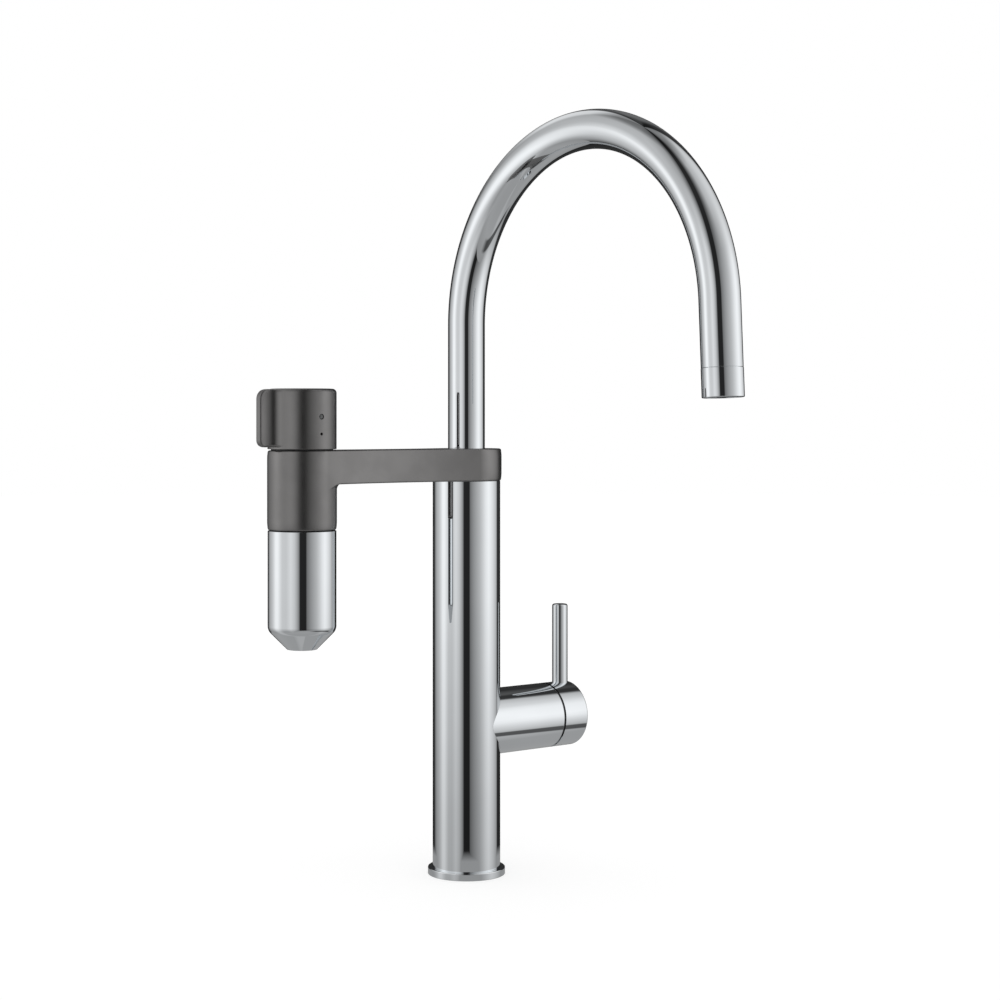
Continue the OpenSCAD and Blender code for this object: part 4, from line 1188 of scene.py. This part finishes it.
class MIXER_TAP_OT_stage(bpy.types.Operator):
    """Builds the white floor, the plain light, the tent that the plating reflects, and the camera"""

    bl_idname = "mixer_tap.stage"
    bl_label = "Stage"

    def execute(self, context):
        studio = context.scene.mixer_tap_studio
        self.make_floor(studio)
        self.make_tent(studio)
        self.make_world(context.scene, studio)
        self.make_camera(context.scene, studio)
        context.scene.view_settings.view_transform = "Standard"
        return {"FINISHED"}

    def stage_object(self, name, look, shape_maker, sizes, z):
        """An object of the stage and its material's tree, in which only an output is left."""
        mesh = bpy.data.meshes.new(name)
        edit = bmesh.new()
        shape_maker(edit, **sizes)
        edit.to_mesh(mesh)
        edit.free()
        made = bpy.data.objects.new(name, mesh)
        made.location.z = z
        bpy.context.scene.collection.objects.link(made)
        material = bpy.data.materials.new(look)
        material.use_nodes = True
        material.cycles.emission_sampling = "NONE"
        material.node_tree.nodes.remove(material.node_tree.nodes["Principled BSDF"])
        mesh.materials.append(material)
        return made, material.node_tree

    def make_floor(self, studio):
        """A round floor, white to the camera but for the tap's soft shadow. From below it is clear."""
        floor, tree = self.stage_object(
            "floor", "studio_floor", bmesh.ops.create_circle,
            {"cap_ends": True, "segments": 128, "radius": studio.floor_r}, FLOOR_Z)
        light = shader_node(tree, "LightPath").outputs
        below = shader_node(tree, "NewGeometry").outputs["Backfacing"]
        white = emission(tree, grey(studio.floor_glow))
        shadow, plain = [shader_node(tree, "BsdfDiffuse", {"Color": grey(level)}).outputs[0]
                         for level in (studio.floor_shade, PLAIN_GREY)]
        both = shader_node(tree, "AddShader", {0: white, 1: shadow}).outputs[0]
        seen = mix_shader(tree, light["Is Camera Ray"], plain, both)
        from_below = math_node(tree, "MULTIPLY", light["Is Camera Ray"], below)
        shiny = math_node(tree, "MAXIMUM", light["Is Glossy Ray"], light["Is Transmission Ray"])
        open_to = math_node(tree, "MAXIMUM", from_below, shiny)
        clear = shader_node(tree, "BsdfTransparent").outputs[0]
        feed(tree, tree.nodes["Material Output"].inputs["Surface"], mix_shader(tree, open_to, seen, clear))
        lay_out(tree)

    def make_tent(self, studio):
        """A ball round the tap with soft boxes and dark flags on it. Only metal and glass see it."""
        tent, tree = self.stage_object(
            "light_tent", "studio_tent", bmesh.ops.create_uvsphere,
            {"u_segments": 96, "v_segments": 48, "radius": studio.tent_r}, studio.tent_z)
        tent.data.shade_smooth()
        tent.rotation_euler.z = studio.camera_turn + math.pi
        place = shader_node(tree, "TexCoord").outputs["Object"]
        parts = shader_node(tree, "SeparateXYZ", {0: place}).outputs
        around = math_node(tree, "ARCTAN2", parts["Y"], parts["X"])
        around = math_node(tree, "MULTIPLY_ADD", around, 1 / FULL_TURN, 0.5)
        height = math_node(tree, "ARCSINE", math_node(tree, "DIVIDE", parts["Z"], studio.tent_r))
        height = math_node(tree, "MULTIPLY_ADD", height, 1 / math.pi, 0.5)

        def by_height(stops):
            return grey_ramp(tree, height, stops, 180)

        def by_side(stops):
            return grey_ramp(tree, around, stops, 360)

        sides = mix_colour(tree, by_height(CEILING_START), by_side(WALLS), by_side(CEILING))
        level = math_node(tree, "MULTIPLY", sides, by_height(LEVEL_BY_HEIGHT))
        level = math_node(tree, "MAXIMUM", level, by_height(FLOOR_LEVEL))
        flag = math_node(tree, "MULTIPLY", by_height(LOW_FLAG_HEIGHT), by_side(LOW_FLAG_SIDE))
        level = math_node(tree, "MULTIPLY", level, math_node(tree, "SUBTRACT", 1.0, flag))
        light = shader_node(tree, "LightPath").outputs
        shiny = math_node(tree, "MAXIMUM", light["Is Glossy Ray"], light["Is Transmission Ray"])
        clear = shader_node(tree, "BsdfTransparent").outputs[0]
        feed(tree, tree.nodes["Material Output"].inputs["Surface"],
             mix_shader(tree, shiny, clear, emission(tree, level)))
        lay_out(tree)

    def make_world(self, scene, studio):
        """White behind the tap, and an even light on it."""
        world = bpy.data.worlds.new("studio")
        scene.world = world
        world.use_nodes = True
        world.cycles.sampling_method = "NONE"
        tree = world.node_tree
        tree.nodes.clear()
        light = shader_node(tree, "LightPath").outputs
        level = math_node(tree, "MULTIPLY_ADD", light["Is Camera Ray"], 1 - studio.light_level,
                          studio.light_level)
        even = shader_node(tree, "Background", {"Color": grey(1), "Strength": level}).outputs[0]
        shader_node(tree, "OutputWorld", {"Surface": even})
        lay_out(tree)

    def make_camera(self, scene, studio):
        """A level camera with the photograph's view."""
        data = bpy.data.cameras.new("camera")
        data.lens = studio.camera_lens
        data.sensor_width = SENSOR_WIDTH
        data.shift_x, data.shift_y = studio.camera_shift
        data.clip_start, data.clip_end = 0.01, 50.0
        camera = bpy.data.objects.new("camera", data)
        camera.location = studio.camera_place
        camera.rotation_euler = (math.pi / 2, 0, studio.camera_turn - math.pi / 2)
        scene.collection.objects.link(camera)
        scene.camera = camera


def grey(level):
    """A grey of that linear level, as a colour with alpha."""
    return (level, level, level, 1)


def grey_ramp(tree, place, stops, full):
    """A ramp of (degrees, grey level) stops over a full range in degrees. It gives the colour's socket."""
    ramp = shader_node(tree, "ValToRGB", {0: place})
    elements = ramp.color_ramp.elements
    while len(elements) > 1:
        elements.remove(elements[-1])
    for i, (degrees, level) in enumerate(stops):
        stop = elements[0] if i == 0 else elements.new(degrees / full + 0.5)
        stop.position = degrees / full + 0.5
        stop.color = grey(level)
    return ramp.outputs["Color"]


# What is on the light tent, in degrees and linear grey levels. Sides run round the tap from the camera's
# side, positive to the camera's right. Heights are above the tent's middle.
WALLS = [
    (-180, 0.03), (-139, 0.03), (-136, 0.13), (-131, 0.25), (-120, 0.46), (-107, 0.58), (-98, 0.74),
    (-88, 1.0), (-79, 1.0), (-72, 0.84), (-63, 0.66), (-50, 0.64), (-36, 0.78), (-25, 0.64), (-17, 0.42),
    (-11, 0.2), (-9.5, 0.02), (9.5, 0.018), (12, 0.17), (24, 0.31), (45, 0.52), (56, 0.68), (68, 0.88),
    (80, 1.0), (90, 0.92), (100, 0.8), (116, 0.56), (122, 0.42), (127, 0.03), (180, 0.03)]
CEILING = [
    (-180, 0.4), (-174, 1.0), (-146, 1.0), (-128, 0.6), (-100, 0.65), (-60, 0.7), (-30, 0.5),
    (-12, 0.12), (-9.5, 0.03), (9.5, 0.03), (18, 0.16), (41, 0.65), (76, 0.88), (100, 0.92), (117, 0.7),
    (123, 0.05), (140, 0.05), (150, 0.2), (165, 0.2), (172, 0.1), (180, 0.1)]
CEILING_START = [(-90, 0.0), (27, 0.0), (33, 0.2), (41, 0.5), (50, 1.0), (90, 1.0)]
LEVEL_BY_HEIGHT = [
    (-90, 0.42), (-65, 0.42), (-43, 0.48), (-31, 0.5), (-25, 0.64), (-22, 0.68), (-15, 0.82), (-8, 0.96),
    (0, 1.03), (20, 1.03), (27, 0.97), (33, 0.85), (41, 0.8), (53, 0.78), (66, 0.72), (72, 0.45),
    (77, 0.28), (90, 0.2)]
FLOOR_LEVEL = [(-90, 0.34), (-60, 0.34), (-43, 0.36), (-25.0, 0.3), (-24.6, 0.0), (90, 0.0)]
LOW_FLAG_HEIGHT = [(-90, 0.0), (-42, 0.0), (-40, 0.8), (-33, 0.8), (-31, 0.0), (90, 0.0)]
LOW_FLAG_SIDE = [(-180, 0.0), (20, 0.0), (45, 1.0), (112, 1.0), (122, 0.0), (180, 0.0)]


class MIXER_TAP_PT_pieces(bpy.types.Panel):
    """Lists the pieces of the tap, its finishes and the studio"""

    bl_idname = "MIXER_TAP_PT_pieces"
    bl_label = "Mixer tap"
    bl_space_type = "VIEW_3D"
    bl_region_type = "UI"
    bl_category = "Mixer tap"

    def draw(self, context):
        scene = context.scene
        for operator in PIECE_OPERATORS:
            self.layout.operator(operator.bl_idname)
        for group in (scene.mixer_tap_shape, scene.mixer_tap_finish, scene.mixer_tap_studio):
            box = self.layout.box()
            for name in group.__annotations__:
                box.prop(group, name)


PROPERTY_GROUPS = (MixerTapShape, MixerTapFinish, MixerTapStudio)
PIECE_OPERATORS = (
    MIXER_TAP_OT_inside, MIXER_TAP_OT_column, MIXER_TAP_OT_valve, MIXER_TAP_OT_handle, MIXER_TAP_OT_spout,
    MIXER_TAP_OT_arm, MIXER_TAP_OT_cup, MIXER_TAP_OT_knob, MIXER_TAP_OT_stage)


def register():
    for kind in (*PROPERTY_GROUPS, *PIECE_OPERATORS, MIXER_TAP_PT_pieces):
        bpy.utils.register_class(kind)
    bpy.types.Scene.mixer_tap_shape = PointerProperty(type=MixerTapShape)
    bpy.types.Scene.mixer_tap_finish = PointerProperty(type=MixerTapFinish)
    bpy.types.Scene.mixer_tap_studio = PointerProperty(type=MixerTapStudio)


def unregister():
    del bpy.types.Scene.mixer_tap_studio
    del bpy.types.Scene.mixer_tap_finish
    del bpy.types.Scene.mixer_tap_shape
    for kind in reversed((*PROPERTY_GROUPS, *PIECE_OPERATORS, MIXER_TAP_PT_pieces)):
        bpy.utils.unregister_class(kind)


def main():
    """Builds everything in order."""
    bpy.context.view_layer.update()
    register()
    for operator in PIECE_OPERATORS:
        group, name = operator.bl_idname.split(".")
        getattr(getattr(bpy.ops, group), name)()


if __name__ == "__main__":
    main()
